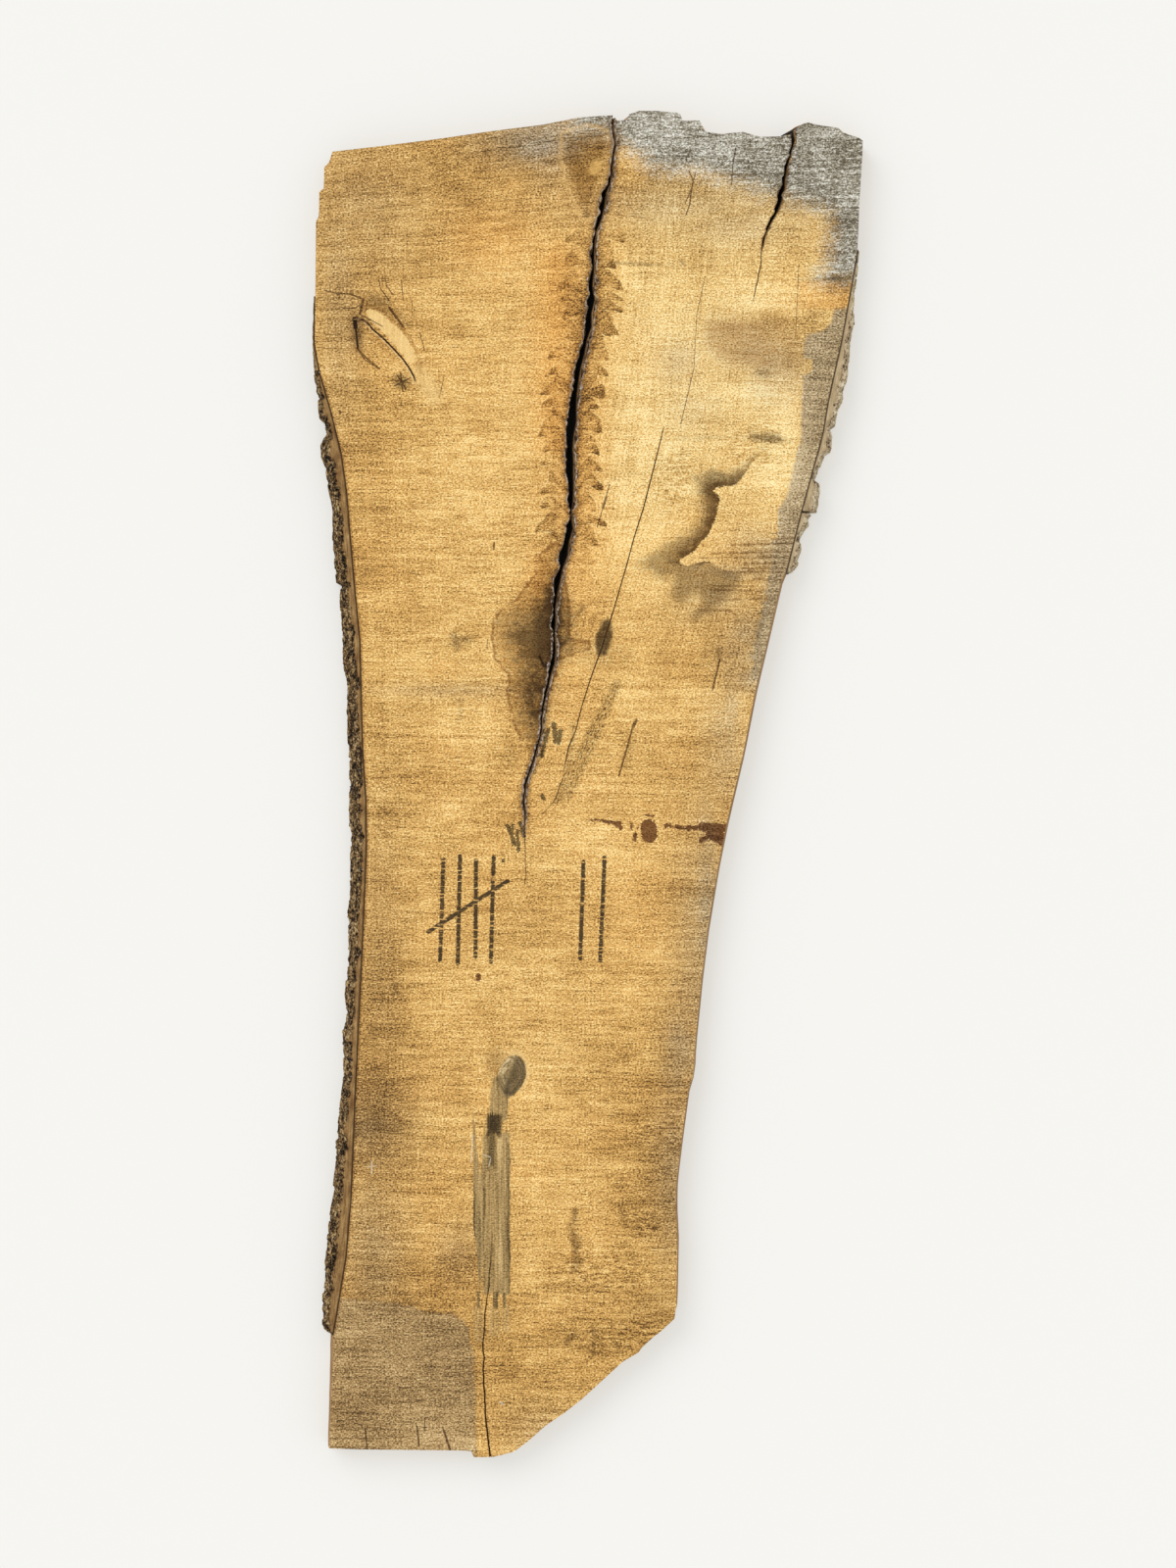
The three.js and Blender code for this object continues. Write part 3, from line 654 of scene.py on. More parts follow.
# The scar's smooth cream band, and its long check
CREAM_BAND = [
    (-405, 865), (-395, 863), (-379, 857), (-360, 841), (-343, 827), (-327, 808), (-316, 789),
    (-308, 770), (-306, 750), (-313, 740), (-322, 759), (-341, 783), (-365, 811), (-376, 822),
    (-388, 832), (-402, 848),
]
SCAR_ARC = [
    (-424, 848), (-417, 845), (-401, 838), (-390, 824), (-374, 811), (-354, 791), (-335, 770),
    (-322, 751), (-315, 737), (-311, 726),
]


def depth_inside(x, y, outline):
    """How far each point lies inside a closed outline: its distance to the line, less than 0
    outside. Inside, a level line to the right crosses the outline an odd number of times."""
    ring = outline + outline[:1]
    d, _ = distance_to(x, y, ring)
    odd = np.zeros(x.shape, bool)
    for (ax, ay), (bx, by) in zip(ring, ring[1:]):
        if ay != by:
            odd ^= ((ay > y) != (by > y)) & (x < ax + (y - ay) * (bx - ax) / (by - ay))
    return np.where(odd, d, -d)


def face_tints(x, y):
    """Lightness, dullness, dark stain and warmth at each point of the sawn face."""
    tone = TONE + sum(amount * glow(x, y, middle, radii) for middle, radii, amount in TONES)
    tone += 0.26 * (cloud(x, y, 130, 55, 201, 4) - 0.5)
    for low_x, high_x, low_y, high_y, amount in LIGHT_BANDS:
        wander = 9 * (cloud(x, y, 40, 12, 203, 2) - 0.5)
        within = ease((x - low_x) / 12) * ease((high_x - x) / 20)
        tone += amount * within * ease((y - low_y + wander) / 10) * ease((high_y - y + wander) / 4)

    dull = 0.0
    for middle, radii, amount in DULLS:
        dull = np.maximum(dull, amount * glow(x, y, middle, radii))
    dark = 0.0
    for number, (middle, radii, turn, soft, amount) in enumerate(STAINS):
        rough = 0.5 if soft > 1 else 0.15
        dark = np.maximum(dark, amount * spot(x, y, middle, radii, turn, soft, rough, 220 + number))

    warm = ease((y - 560) / 60) * ease((1010 - y) / 60) * glow(x, y, (-57, y), (46, 1))
    warm = np.maximum(warm, 0.35 * glow(x, y, (-62, 200), (75, 150)))
    warm = np.maximum(warm, 0.8 * glow(x, y, (-88, 385), (26, 50)))
    warm = np.maximum(warm, 0.3 * glow(x, y, (90, -230), (80, 110)))
    warm = np.maximum(warm, 0.6 * glow(x, y, (-25, 560), (60, 330)))
    warm = np.maximum(warm, 0.7 * glow(x, y, (-170, 990), (90, 60)))
    warm = np.maximum(warm, 0.5 * (cloud(x, y, 90, 70, 205, 2) - 0.45))
    warm = np.maximum(warm, 0.6 * ease((x - 380) / 8) * ease((y - 858) / 5) * ease((914 - y) / 5))
    return np.stack([tone, dull, dark, warm], -1)


def face_outlines(x, y):
    """How far inside the outlines of the stains, the weathered zones and the scar each point is,
    with the torn grain as the last number."""
    def far_in(outline):
        return np.clip(depth_inside(x, y, outline), -90, 90)
    grey = far_in(EDGE_GREY)
    for number, (middle, radii) in enumerate(CREAM_FLAKES):
        grey = grey - 70 * spot(x, y, middle, radii, soft=0.7, ragged=0.3, seed=250 + number)
    river = np.maximum(far_in(RIVER), far_in(RIVER_TAIL) - 4)
    stains = [far_in(FOOT_STAIN), far_in(FOOT_CORE), river, far_in(BROWN_PATCH)]
    zones = [far_in(FORK_SILVER), grey, far_in(LOW_LEFT), far_in(FORK_CONE)]
    d, share = distance_to(x, y, SCAR_ARC)
    arc = np.array(SCAR_ARC, float)
    side = np.sign(y - np.interp(x, arc[:, 0], arc[:, 1]))
    scar = [d * side, share, far_in(CREAM_BAND), torn_grain(x, y)]
    return np.stack(stains, -1), np.stack(zones, -1), np.stack(scar, -1), far_in(RIVER_BANK)


def clear_of(offset, half):
    """Signed distance to a crack's nearer wall: 0 inside the crack, growing away from it."""
    return np.sign(offset) * np.maximum(np.abs(offset) - half, 0)


def line_layers(x, y, row, level, tail):
    """For each point: distances to the edges and to the cracks' walls, the same for the face
    check, and grain, which runs with the trunk's fibres because it keeps its share of the way
    between the lines as they spread. Grain is measured in millimetres across the slab's middle."""
    lines = np.stack([g[..., 0] if g.ndim > 1 else g for g in guides(y, level)])
    middle = [float(g) for g in guides(np.array(0.0), 1.0)]
    grain = np.zeros(x.shape)
    for a, b in ((0, 2), (2, 5), (5, 8), (8, 10)):
        share = (x - lines[a]) / np.maximum(lines[b] - lines[a], 1)
        within = (share >= 0 if a else True) & (share <= 1 if b < 10 else True)
        grain = np.where(within, middle[a] + share * (middle[b] - middle[a]), grain)
    halves = [np.abs(lines[k + 1] - lines[k - 1]) / 2 for k in (2, 5, 8)]
    main, face, second = [clear_of(x - lines[k], h) for k, h in zip((2, 5, 8), halves)]
    edges = np.stack([x - lines[0], lines[10] - x, main, second], -1)
    return {"edges": edges, "lines": np.stack([face, grain, tail, row], -1)}


def wood_layers(top, back, ring_points):
    """The finish's layers at every point of the wood: worked out in full on the sawn face, and
    plain on the walls and the back, which have no stains."""
    x, y, row = [a.ravel() for a in top]
    stains, zones, scar, tail = face_outlines(x, y)
    layers = line_layers(x, y, row, 1.0, tail)
    layers.update(tints=face_tints(x, y), stains=stains, zones=zones, scar=scar)
    bx, by = [a.ravel() for a in back]
    rx, ry, rz = ring_points.T
    low_x, low_y = np.concatenate([bx, rx]), np.concatenate([by, ry])
    low_level = np.concatenate([bx * 0, rz / THICKNESS])
    low = line_layers(low_x, low_y, low_y, low_level, low_x * 0 - 90)
    low["lines"][:, 0] = 90
    for name, plain in (("tints", (0.5, 0.15, 0, 0)), ("stains", (-90, -90, -90, -90)),
                        ("zones", (-90, -90, -90, -90)), ("scar", (300, 0, -90, 0))):
        low[name] = np.broadcast_to(np.array(plain, float), (len(low_x), 4))
    return {name: np.concatenate([layers[name], low[name]]) for name in layers}


def furrow(y, level):
    """Depth of the furrows in the bark: flat ridges that weave along the trunk, and steps that
    cross them."""
    weave = 2.3 * np.sin(y / 29) + 1.4 * np.sin(y / 13.7 + 1)
    ridge = 0.5 + 0.5 * np.sin(13 * level + weave)
    crossing = np.maximum(0, np.sin(y / 9.5 + 2.6 * np.sin(7 * level + y / 61)))
    return 3.6 * ridge**2 + 2.4 * crossing**4


UNDERSIDE = 0.4
BARK_STEP = 2.0
SECTION_CELLS = 9
OUTER_CELLS = 30
UNDER_CELLS = 5
INNER_CELLS = 5


def bark_surface(side, outline, roughness, flakes, seed):
    """A strip of bark: loops across it, one each step along the trunk. A loop runs over the sawn
    section, down the furrowed outside, back along the underside and up beside the wood. Outside,
    x is the outline less the lean, the furrows and finer flakes."""
    flare = LEFT_FLARE if side < 0 else RIGHT_FLARE
    low, high = outline[0][0], outline[-1][0]
    y = np.linspace(low, high, int((high - low) / BARK_STEP) + 1)[:, None]

    def inner(level):
        return edge_x(side, y, level) + side * SEAM

    def outer(level):
        level = level + 0 * y
        fine = cloud(y, level * THICKNESS, 7, 3.5, seed, 3) - 0.3
        chips = np.round(3 * cloud(y, level * THICKNESS, 11, 24, seed + 3, 2)) * 2.6
        cleft = np.abs(cloud(y, level * THICKNESS, 34, 9, seed + 5, 2) - 0.5) * 2
        depth = (along(flare, y) * level**2 + roughness * furrow(y, level)
                 + flakes * (2.6 * np.clip(fine, 0, 1) + 3.6 * ease(1 - cleft * 5) + chips - 4.5))
        depth = np.maximum(depth, 0.4)
        return side * np.maximum(side * along(outline, y) - depth, side * inner(level) + THINNEST_BARK)

    across = np.linspace(0, 1, SECTION_CELLS + 1)
    down = np.linspace(1, 0, OUTER_CELLS + 1)[1:]
    back = np.linspace(1, 0, UNDER_CELLS + 1)[1:]
    up = np.linspace(0, 1, INNER_CELLS + 1)[1:-1]
    top_x = inner(1.0) + (outer(1.0) - inner(1.0)) * across
    crumbly = ease((across - 0.4) / 0.35)
    pits = np.abs(cloud(top_x, y, 9, 13, seed + 9, 3) - 0.5) * 2
    top_fall = 0.4 + flakes * (0.6 * pits + 6.5 * crumbly * ease((pits - 0.12) / 0.6))
    top_z = THICKNESS - top_fall - 2.5 * flakes * ease((across - 0.85) / 0.15)
    start_z = top_z[:, -1:]
    x = np.concatenate([top_x, outer(down), inner(0.0) + (outer(0.0) - inner(0.0)) * back,
                        inner(up) + 0 * y], 1)
    z = np.concatenate([top_z, start_z * down, 0 * y + 0 * back, THICKNESS * up + 0 * y], 1)
    z = np.maximum(z, UNDERSIDE)
    y_all = y + 0 * x
    thickness = np.abs(x - edge_x(side, y_all, z / THICKNESS)) - SEAM
    # The furrows' depth, which the finish uses to paint shade into them
    hollow = furrow(y_all, z / THICKNESS) / 6
    share = np.concatenate([across, down * 0 + 1, back, up * 0]) + 0 * x
    layers = np.stack([thickness, hollow, share, 0 * x], -1)
    rows, count = x.shape
    number = np.arange(x.size).reshape(x.shape)
    faces = []
    after = np.roll(number, -1, 1)
    quads = np.stack([number[:-1], after[:-1], after[1:], number[1:]], -1).reshape(-1, 4)
    caps = [number[0][::-1].tolist(), number[-1].tolist()]
    if side > 0:
        quads = quads[:, ::-1]
        caps = [cap[::-1] for cap in caps]
    faces = quads[:, ::-1].tolist() + caps
    points = np.stack([x, y_all, z], -1).reshape(-1, 3)
    return points, faces, {"bark": layers.reshape(-1, 4)}


class Value:
    """A number that a finish works out at each point of a surface. Sums and products of these add
    the nodes that do the same."""

    def __init__(self, finish, socket):
        self.finish = finish
        self.socket = socket

    def __add__(self, other):
        return self.finish.math("ADD", self, other)

    def __sub__(self, other):
        return self.finish.math("SUBTRACT", self, other)

    def __rsub__(self, other):
        return self.finish.math("SUBTRACT", other, self)

    def __mul__(self, other):
        return self.finish.math("MULTIPLY", self, other)

    def __truediv__(self, other):
        return self.finish.math("DIVIDE", self, other)

    def __pow__(self, other):
        return self.finish.math("POWER", self, other)

    __radd__ = __add__
    __rmul__ = __mul__


class Finish:
    """One material, built up as expressions. Lengths inside it are millimetres."""

    def __init__(self, name):
        self.material = bpy.data.materials.new(name)
        self.material.use_nodes = True
        self.nodes = self.material.node_tree.nodes
        self.links = self.material.node_tree.links
        self.nodes.clear()

    def node(self, kind, settings, sockets, output=0):
        """Adds a node: first its settings, then a value or a link for each socket."""
        node = self.nodes.new(kind)
        for name, value in settings.items():
            setattr(node, name, value)
        for name, value in sockets.items():
            if isinstance(value, Value):
                self.links.new(value.socket, node.inputs[name])
            else:
                node.inputs[name].default_value = value
        return Value(self, node.outputs[output]) if node.outputs else None

    def math(self, operation, a, b=0.0):
        return self.node("ShaderNodeMath", {"operation": operation}, {0: a, 1: b})

    def least(self, a, b):
        return self.math("MINIMUM", a, b)

    def most(self, a, b):
        return self.math("MAXIMUM", a, b)

    def size(self, a):
        return self.math("ABSOLUTE", a)

    def limit(self, a):
        return self.node("ShaderNodeClamp", {}, {0: a})

    def step(self, value, low, high):
        """Eased step: 0 where value is at low or before it, 1 from high on. Low may be above high."""
        if low > high:
            return 1 - self.step(value, high, low)
        return self.node("ShaderNodeMapRange", {"interpolation_type": "SMOOTHSTEP"},
                         {0: value, 1: low, 2: high})

    def noise(self, u, v, w=0.0, detail=2.0, rough=0.55):
        """Smooth noise about 0.5 with features about one unit of u and v across."""
        at = self.node("ShaderNodeCombineXYZ", {}, {0: u, 1: v, 2: w})
        return self.node("ShaderNodeTexNoise", {}, {"Vector": at, "Scale": 1.0, "Detail": detail,
                                                    "Roughness": rough})

    def cells(self, u, v, w=0.0):
        """Distance to the nearest of points strewn about one to each unit cell."""
        at = self.node("ShaderNodeCombineXYZ", {}, {0: u, 1: v, 2: w})
        return self.node("ShaderNodeTexVoronoi", {}, {"Vector": at, "Scale": 1.0})

    def mix(self, share, a, b):
        """Colour a where share is 0 and b where it is 1."""
        sockets = {0: share, 6: self.colour(a), 7: self.colour(b)}
        return self.node("ShaderNodeMix", {"data_type": "RGBA"}, sockets, 2)

    def tinted(self, share, a, b):
        """Colour a, multiplied by b where share is 1."""
        settings = {"data_type": "RGBA", "blend_type": "MULTIPLY"}
        return self.node("ShaderNodeMix", settings, {0: share, 6: self.colour(a), 7: self.colour(b)}, 2)

    def scaled(self, colour, amount):
        """A colour made lighter or darker by a number."""
        return self.node("ShaderNodeVectorMath", {"operation": "SCALE"}, {0: colour, 3: amount})

    def colour(self, c):
        return c if isinstance(c, Value) else (*c, 1.0)

    def ramp(self, value, stops):
        """Colour read along stops of (place, colour)."""
        ramp = self.node("ShaderNodeValToRGB", {}, {0: value})
        elements = ramp.socket.node.color_ramp.elements
        for place, colour in stops[1:-1]:
            elements.new(place).color = (*colour, 1.0)
        elements[0].position, elements[0].color = stops[0][0], (*stops[0][1], 1.0)
        elements[-1].position, elements[-1].color = stops[-1][0], (*stops[-1][1], 1.0)
        return ramp

    def place(self):
        """X, Y and Z of the point in millimetres."""
        at = self.node("ShaderNodeTexCoord", {}, {}, "Object")
        split = self.node("ShaderNodeSeparateXYZ", {}, {0: at}).socket.node
        return [Value(self, split.outputs[k]) * METRE for k in range(3)]

    def facing_up(self):
        """Upward share of the surface's own direction, before any bump."""
        way = self.node("ShaderNodeNewGeometry", {}, {}, "True Normal")
        return self.node("ShaderNodeSeparateXYZ", {}, {0: way}, 2)

    def layer(self, name):
        """The four numbers of one of the mesh's layers."""
        source = self.node("ShaderNodeAttribute", {"attribute_name": name}, {}, "Color").socket
        split = self.node("ShaderNodeSeparateColor", {}, {0: Value(self, source)}).socket.node
        alpha = Value(self, source.node.outputs["Alpha"])
        return [Value(self, split.outputs[k]) for k in range(3)] + [alpha]

    def vector(self, operation, *parts, output=0):
        return self.node("ShaderNodeVectorMath", {"operation": operation}, dict(enumerate(parts)), output)

    def stroke(self, at, start, end):
        """Distance to a straight stroke: to its start plus the clamped share of the way along."""
        way = (end[0] - start[0], end[1] - start[1], 0)
        length = way[0] ** 2 + way[1] ** 2
        origin = (*start, 0)
        measure = tuple(w / length for w in way)
        t = self.limit(self.vector("DOT_PRODUCT", self.vector("SUBTRACT", at, origin), measure,
                                   output="Value"))
        nearest = self.vector("MULTIPLY_ADD", self.node("ShaderNodeCombineXYZ", {}, {0: t, 1: t}), way,
                              origin)
        return self.vector("DISTANCE", at, nearest, output="Value")

    def done(self, colour, roughness, height, specular=0.3):
        """Ends the material: a dull surface with relief, height in millimetres."""
        bump = self.node("ShaderNodeBump", {}, {"Height": height, "Distance": 1 / METRE})
        surface = self.node("ShaderNodeBsdfPrincipled", {}, {
            "Base Color": colour, "Roughness": roughness, "Normal": bump,
            "Specular IOR Level": specular,
        })
        self.node("ShaderNodeOutputMaterial", {}, {"Surface": surface}, None)
        return self.material


def srgb(red, green, blue):
    """A screen colour, 0 to 255, as the light it stands for."""
    return tuple((c / 255 / 12.92) if c <= 10 else ((c / 255 + 0.055) / 1.055) ** 2.4
                 for c in (red, green, blue))


# Marks on the face as strokes: (start, end, half width). First the lumber crayon, two tallies
CRAYON = [
    ((-262, -137), (-268, -318), 4), ((-232, -131), (-236, -325), 4), ((-203, -139), (-204, -314), 4),
    ((-171, -133), (-176, -322), 4), ((-290, -268), (-146, -176), 4), ((-8, -141), (-14, -316), 4),
    ((30, -133), (22, -321), 4),
]
# Black-green mould in short strokes beside the crack's foot, and soft dark smudges
MOULD = [
    ((-62, 108), (-58, 78), 5), ((-50, 96), (-53, 74), 4), ((-72, 98), (-84, 52), 4),
    ((-146, -76), (-132, -110), 4), ((-136, -74), (-139, -96), 3), ((-122, -72), (-116, -94), 4),
    ((-128, -84), (-126, -122), 3), ((-83, -22), (-81, -26), 4), ((-154, -138), (-154, -140), 3),
]
# Brown water drops: a brush mark, blots and specks by the right edge
DROPS = [
    ((1, -64), (30, -67), 2), ((28, -67), (57, -72), 4), ((50, -72), (60, -80), 4),
    ((110, -78), (111, -92), 15), ((80, -74), (78, -82), 3), ((86, -90), (84, -102), 4),
    ((94, -74), (90, -80), 2), ((141, -75), (150, -76), 4), ((160, -77), (172, -80), 4),
    ((180, -80), (196, -79), 5), ((206, -78), (250, -80), 8), ((226, -88), (244, -100), 13),
    ((214, -98), (206, -102), 5), ((-199, -348), (-199, -354), 5), ((104, -56), (118, -58), 2),
]
# Fine dark hairs and checks in the face and flecks of chalk, as (start, end, half width)
HAIRS = [
    ((183, 1111), (191, 1092), 1.0), ((195, 1108), (190, 1090), 0.9), ((190, 1090), (186, 1066), 1.2),
    ((188, 1080), (176, 1052), 0.9), ((186, 1066), (184, 1048), 1.2), ((184, 1048), (177, 1030), 0.9),
    ((268, 1152), (263, 1128), 1.2), ((263, 1128), (260, 1084), 0.8),
    ((239, 226), (226, 171), 1.6), ((88, 117), (83, 104), 2.2), ((83, 111), (72, 70), 1.5),
    ((72, 70), (56, 15), 1.5), ((-88, 231), (-80, 215), 2.2), ((-80, 214), (-66, 218), 3.2),
    ((-66, 218), (-54, 232), 3.0), ((212, 919), (197, 849), 0.6), ((197, 849), (192, 753), 0.5),
    ((192, 753), (168, 652), 0.7), ((-477, 895), (-455, 889), 0.9), ((-455, 889), (-431, 888), 1.2),
    ((-431, 888), (-408, 879), 1.7), ((-408, 879), (-414, 852), 1.7), ((-444, 863), (-422, 862), 0.9),
    ((-422, 862), (-410, 872), 1.0), ((-43, 17), (-61, -31), 0.8), ((-61, -31), (-83, -55), 0.6),
    ((-404, -1168), (-400, -1206), 1.2), ((-310, -1164), (-306, -1198), 1.6),
    ((-262, -1170), (-250, -1206), 2.0), ((-296, -1150), (-296, -1172), 1.0),
    ((-413, 851), (-395, 842), 1.2), ((-395, 842), (-373, 830), 0.9), ((-360, 863), (-335, 829), 2.2),
    ((-407, 877), (-412, 854), 1.6), ((-400, 875), (-403, 858), 0.8), ((-419, 790), (-403, 773), 1.6),
    ((-403, 773), (-378, 753), 1.4), ((-450, 676), (-449, 672), 2.0), ((-346, 741), (-330, 716), 1.2),
    ((-350, 722), (-322, 736), 1.2), ((-340, 746), (-336, 712), 1.0), ((-354, 732), (-320, 726), 0.8),
    ((-379, 914), (-376, 898), 0.8), ((-376, 898), (-360, 876), 1.0), ((-368, 922), (-365, 903), 0.6),
    ((-365, 903), (-354, 887), 0.9), ((-338, 914), (-335, 876), 0.6), ((-319, 876), (-318, 846), 0.5),
    ((-305, 819), (-296, 786), 0.8), ((-261, 739), (-269, 700), 0.6), ((-417, 789), (-406, 770), 1.2),
    ((-406, 770), (-380, 753), 0.8), ((-170, 438), (-171, 425), 1.6), ((-182, 262), (-183, 246), 0.8),
    ((39, 543), (17, 466), 1.0), ((33, 520), (27, 500), 2.2), ((382, 940), (376, 810), 0.5),
]
# Brown lines that the saw left beside the river, each along a saw mark
RULED = [
    ((317, 441), (374, 446), 1.2), ((260, 433), (369, 436), 1.2), ((225, 418), (367, 421), 1.4),
    ((203, 410), (365, 411), 1.2), ((282, 399), (361, 400), 1.2), ((277, 391), (358, 391), 1.4),
    ((247, 385), (356, 384), 1.4), ((229, 359), (299, 359), 1.0), ((216, 352), (317, 350), 1.0),
    ((203, 315), (273, 314), 1.0), ((300, 372), (350, 370), 1.0), ((240, 334), (320, 335), 0.8),
]
CHALK = [
    ((-392, -684), (-392, -706), 1.2), ((-401, -694), (-383, -692), 0.9),
    ((-209, -636), (-212, -686), 1.0), ((-190, -672), (-178, -676), 0.9), ((-176, -678), (-180, -694), 0.9),
    ((-160, -1120), (-154, -1124), 1.5), ((-196, -640), (-196, -646), 0.8),
]
SMUDGES = [
    ((-242, 268), (-238, 246), 6), ((-216, 262), (-226, 264), 5), ((-349, -366), (-349, -380), 4),
    ((171, 945), (171, 943), 4), ((-233, 150), (-231, 120), 3), ((240, 240), (236, 228), 5),
    ((-24, -772), (-26, -790), 5), ((-30, -800), (-22, -850), 6), ((-16, -866), (-26, -880), 5),
    ((12, -992), (10, -1030), 6), ((-26, -1000), (-40, -1010), 6), ((-10, 320), (-26, 300), 4),
    ((-5, 1038), (-2, 1034), 5), ((60, -760), (64, -790), 3), ((301, 632), (344, 626), 7),
]
# Bands of fine dark dashes along the fibres, right of the crack's foot
DASHES = [((52, 178), (17, 109), 10), ((17, 109), (-13, 40), 13), ((-13, 40), (-40, -17), 13),
          ((-25, 109), (-34, 30), 5), ((-34, 30), (-56, -30), 7), ((-98, 20), (-82, 60), 4)]


# How far the face's marks were to be moved away on the back and the low part of the sides; nothing reads it, so
# they are not moved
FAR = 900.0


def strokes(s, at, table):
    """Signed distance to the nearest of a table of strokes: negative inside their half width."""
    nearest = None
    for start, end, half in table:
        d = s.stroke(at, start, end) - half
        nearest = d if nearest is None else s.least(nearest, d)
    return nearest


def upright(s, x, y, low_x, high_x, low_y, high_y, soft):
    """1 within an upright rectangle, falling to 0 over soft at its rim."""
    across = s.step(x, low_x - soft, low_x + soft) * s.step(x, high_x + soft, high_x - soft)
    return across * s.step(y, low_y - soft, low_y + soft) * s.step(y, high_y + soft, high_y - soft)


def knot_and_trail(s, at, colour, x, y, z, mottle, grit, fuzz):
    """The sound knot, dark on the right with a paler swirled lobe on its left, and the weathered
    streak below it, where the saw opened its fibres: a neck, a dark block, and two upright columns
    of fine streaks with dark rims."""
    hair = s.noise(x / 2.4, y / 100, 51, 1) - 0.5
    streak = s.noise(x / 6.5, y / 150, 52, 2) - 0.5
    sway = x + (s.noise(0.0, y / 55, 50, 2) - 0.5) * 7 + mottle * 3
    ends = y + hair * 16 + mottle * 8
    neck = s.step(s.stroke(at, (-158, -545), (-163, -600)) + mottle * 8, 20, 14)
    block = upright(s, sway, ends + streak * 40, -184, -156, -634, -598, 4)
    block_tail = upright(s, sway, ends + streak * 60, -186, -166, -700, -626, 4)
    right_column = upright(s, sway, ends, -166, -141, -926, -632, 1.5)
    middle_column = upright(s, sway, ends, -190, -162, -924, -640, 3)
    left_column = upright(s, sway, ends - s.size(sway + 196) * 11, -208, -186, -920, -716, 1.4)
    low = (upright(s, sway, ends, -207, -190, -1012, -946, 2) + upright(s, sway, ends, -180, -160, -1002, -946, 2)
           + upright(s, sway, ends, -156, -142, -994, -946, 2))
    necks = (upright(s, sway, y, -201, -196, -950, -918, 1) + upright(s, sway, y, -172, -163, -950, -920, 1)
             + upright(s, sway, y, -154, -148, -950, -922, 1))
    rims = (upright(s, sway, ends, -146, -141, -924, -650, 1) + upright(s, sway, ends, -209, -204, -918, -740, 1)
            + upright(s, sway, ends, -190, -187, -910, -730, 1) + upright(s, sway, y, -186, -182, -600, -560, 1))
    slit = s.step(s.stroke(at, (-173, -815), (-182, -925)), 1.7, 0.5)
    dark = block + block_tail * 0.5 + rims * 0.4 + left_column * 0.1 + necks * 0.5 + slit * 0.5
    tone = 0.6 + hair * 0.8 + streak * 0.9 + grit * 0.7 + fuzz * 0.6 - dark * 0.58
    streaked = s.ramp(tone, [
        (0.0, srgb(38, 30, 20)), (0.25, srgb(88, 72, 45)), (0.5, srgb(142, 119, 77)),
        (0.72, srgb(180, 151, 101)), (1.0, srgb(224, 196, 138)),
    ])
    cover = s.most(s.most(neck * 0.85, right_column * 0.88), s.most(middle_column * 0.8, left_column * 0.88))
    cover = s.most(s.most(cover, block * 0.95), s.most(block_tail * 0.9, s.most(necks * 0.85, low * 0.42)))
    colour = s.mix(s.limit(cover), colour, streaked)

    kx, ky = KNOT["middle"]
    turn = math.radians(KNOT["turn"])
    u = ((x - kx) * math.cos(turn) + (y - ky) * math.sin(turn)) / KNOT["across"]
    v = ((y - ky) * math.cos(turn) - (x - kx) * math.sin(turn)) / KNOT["along"]
    round_it = ((u * (1 + 0.3 * s.limit(0 - v))) ** 2 + v ** 2) ** 0.5 + mottle * 0.16
    halo = s.step(s.stroke(at, (-166, -500), (-160, -520)) + mottle * 16, 34, 10)
    colour = s.tinted(halo * 0.5, colour, (0.52, 0.48, 0.46))
    # Painted highlight: a cream rim on the knot's upper right side
    rim = s.step(round_it, 0.94, 1.03) * s.step(round_it, 1.3, 1.06) * s.step(u + v * 0.9, -0.1, 0.7)
    colour = s.mix(rim * 0.55, colour, srgb(232, 198, 136))
    swirl = s.noise(round_it * 5.5 + u * 1.5, v * 1.6 + u, 22, 2, 0.6)
    lobe = s.step(u + (swirl - 0.5) * 0.9 - v * 0.25, -0.05, -0.35)
    core = s.ramp(swirl + grit * 0.5, [(0.25, srgb(54, 44, 30)), (0.5, srgb(94, 79, 54)),
                                       (0.75, srgb(134, 115, 82))])
    pale = s.ramp(swirl * 1.3 - 0.15 + grit * 0.4, [(0.3, srgb(104, 87, 58)), (0.5, srgb(150, 128, 88)),
                                                    (0.72, srgb(222, 196, 146))])
    core = s.mix(lobe, core, pale)
    return s.mix(s.step(round_it, 1.02, 0.9) * 0.94, colour, core)


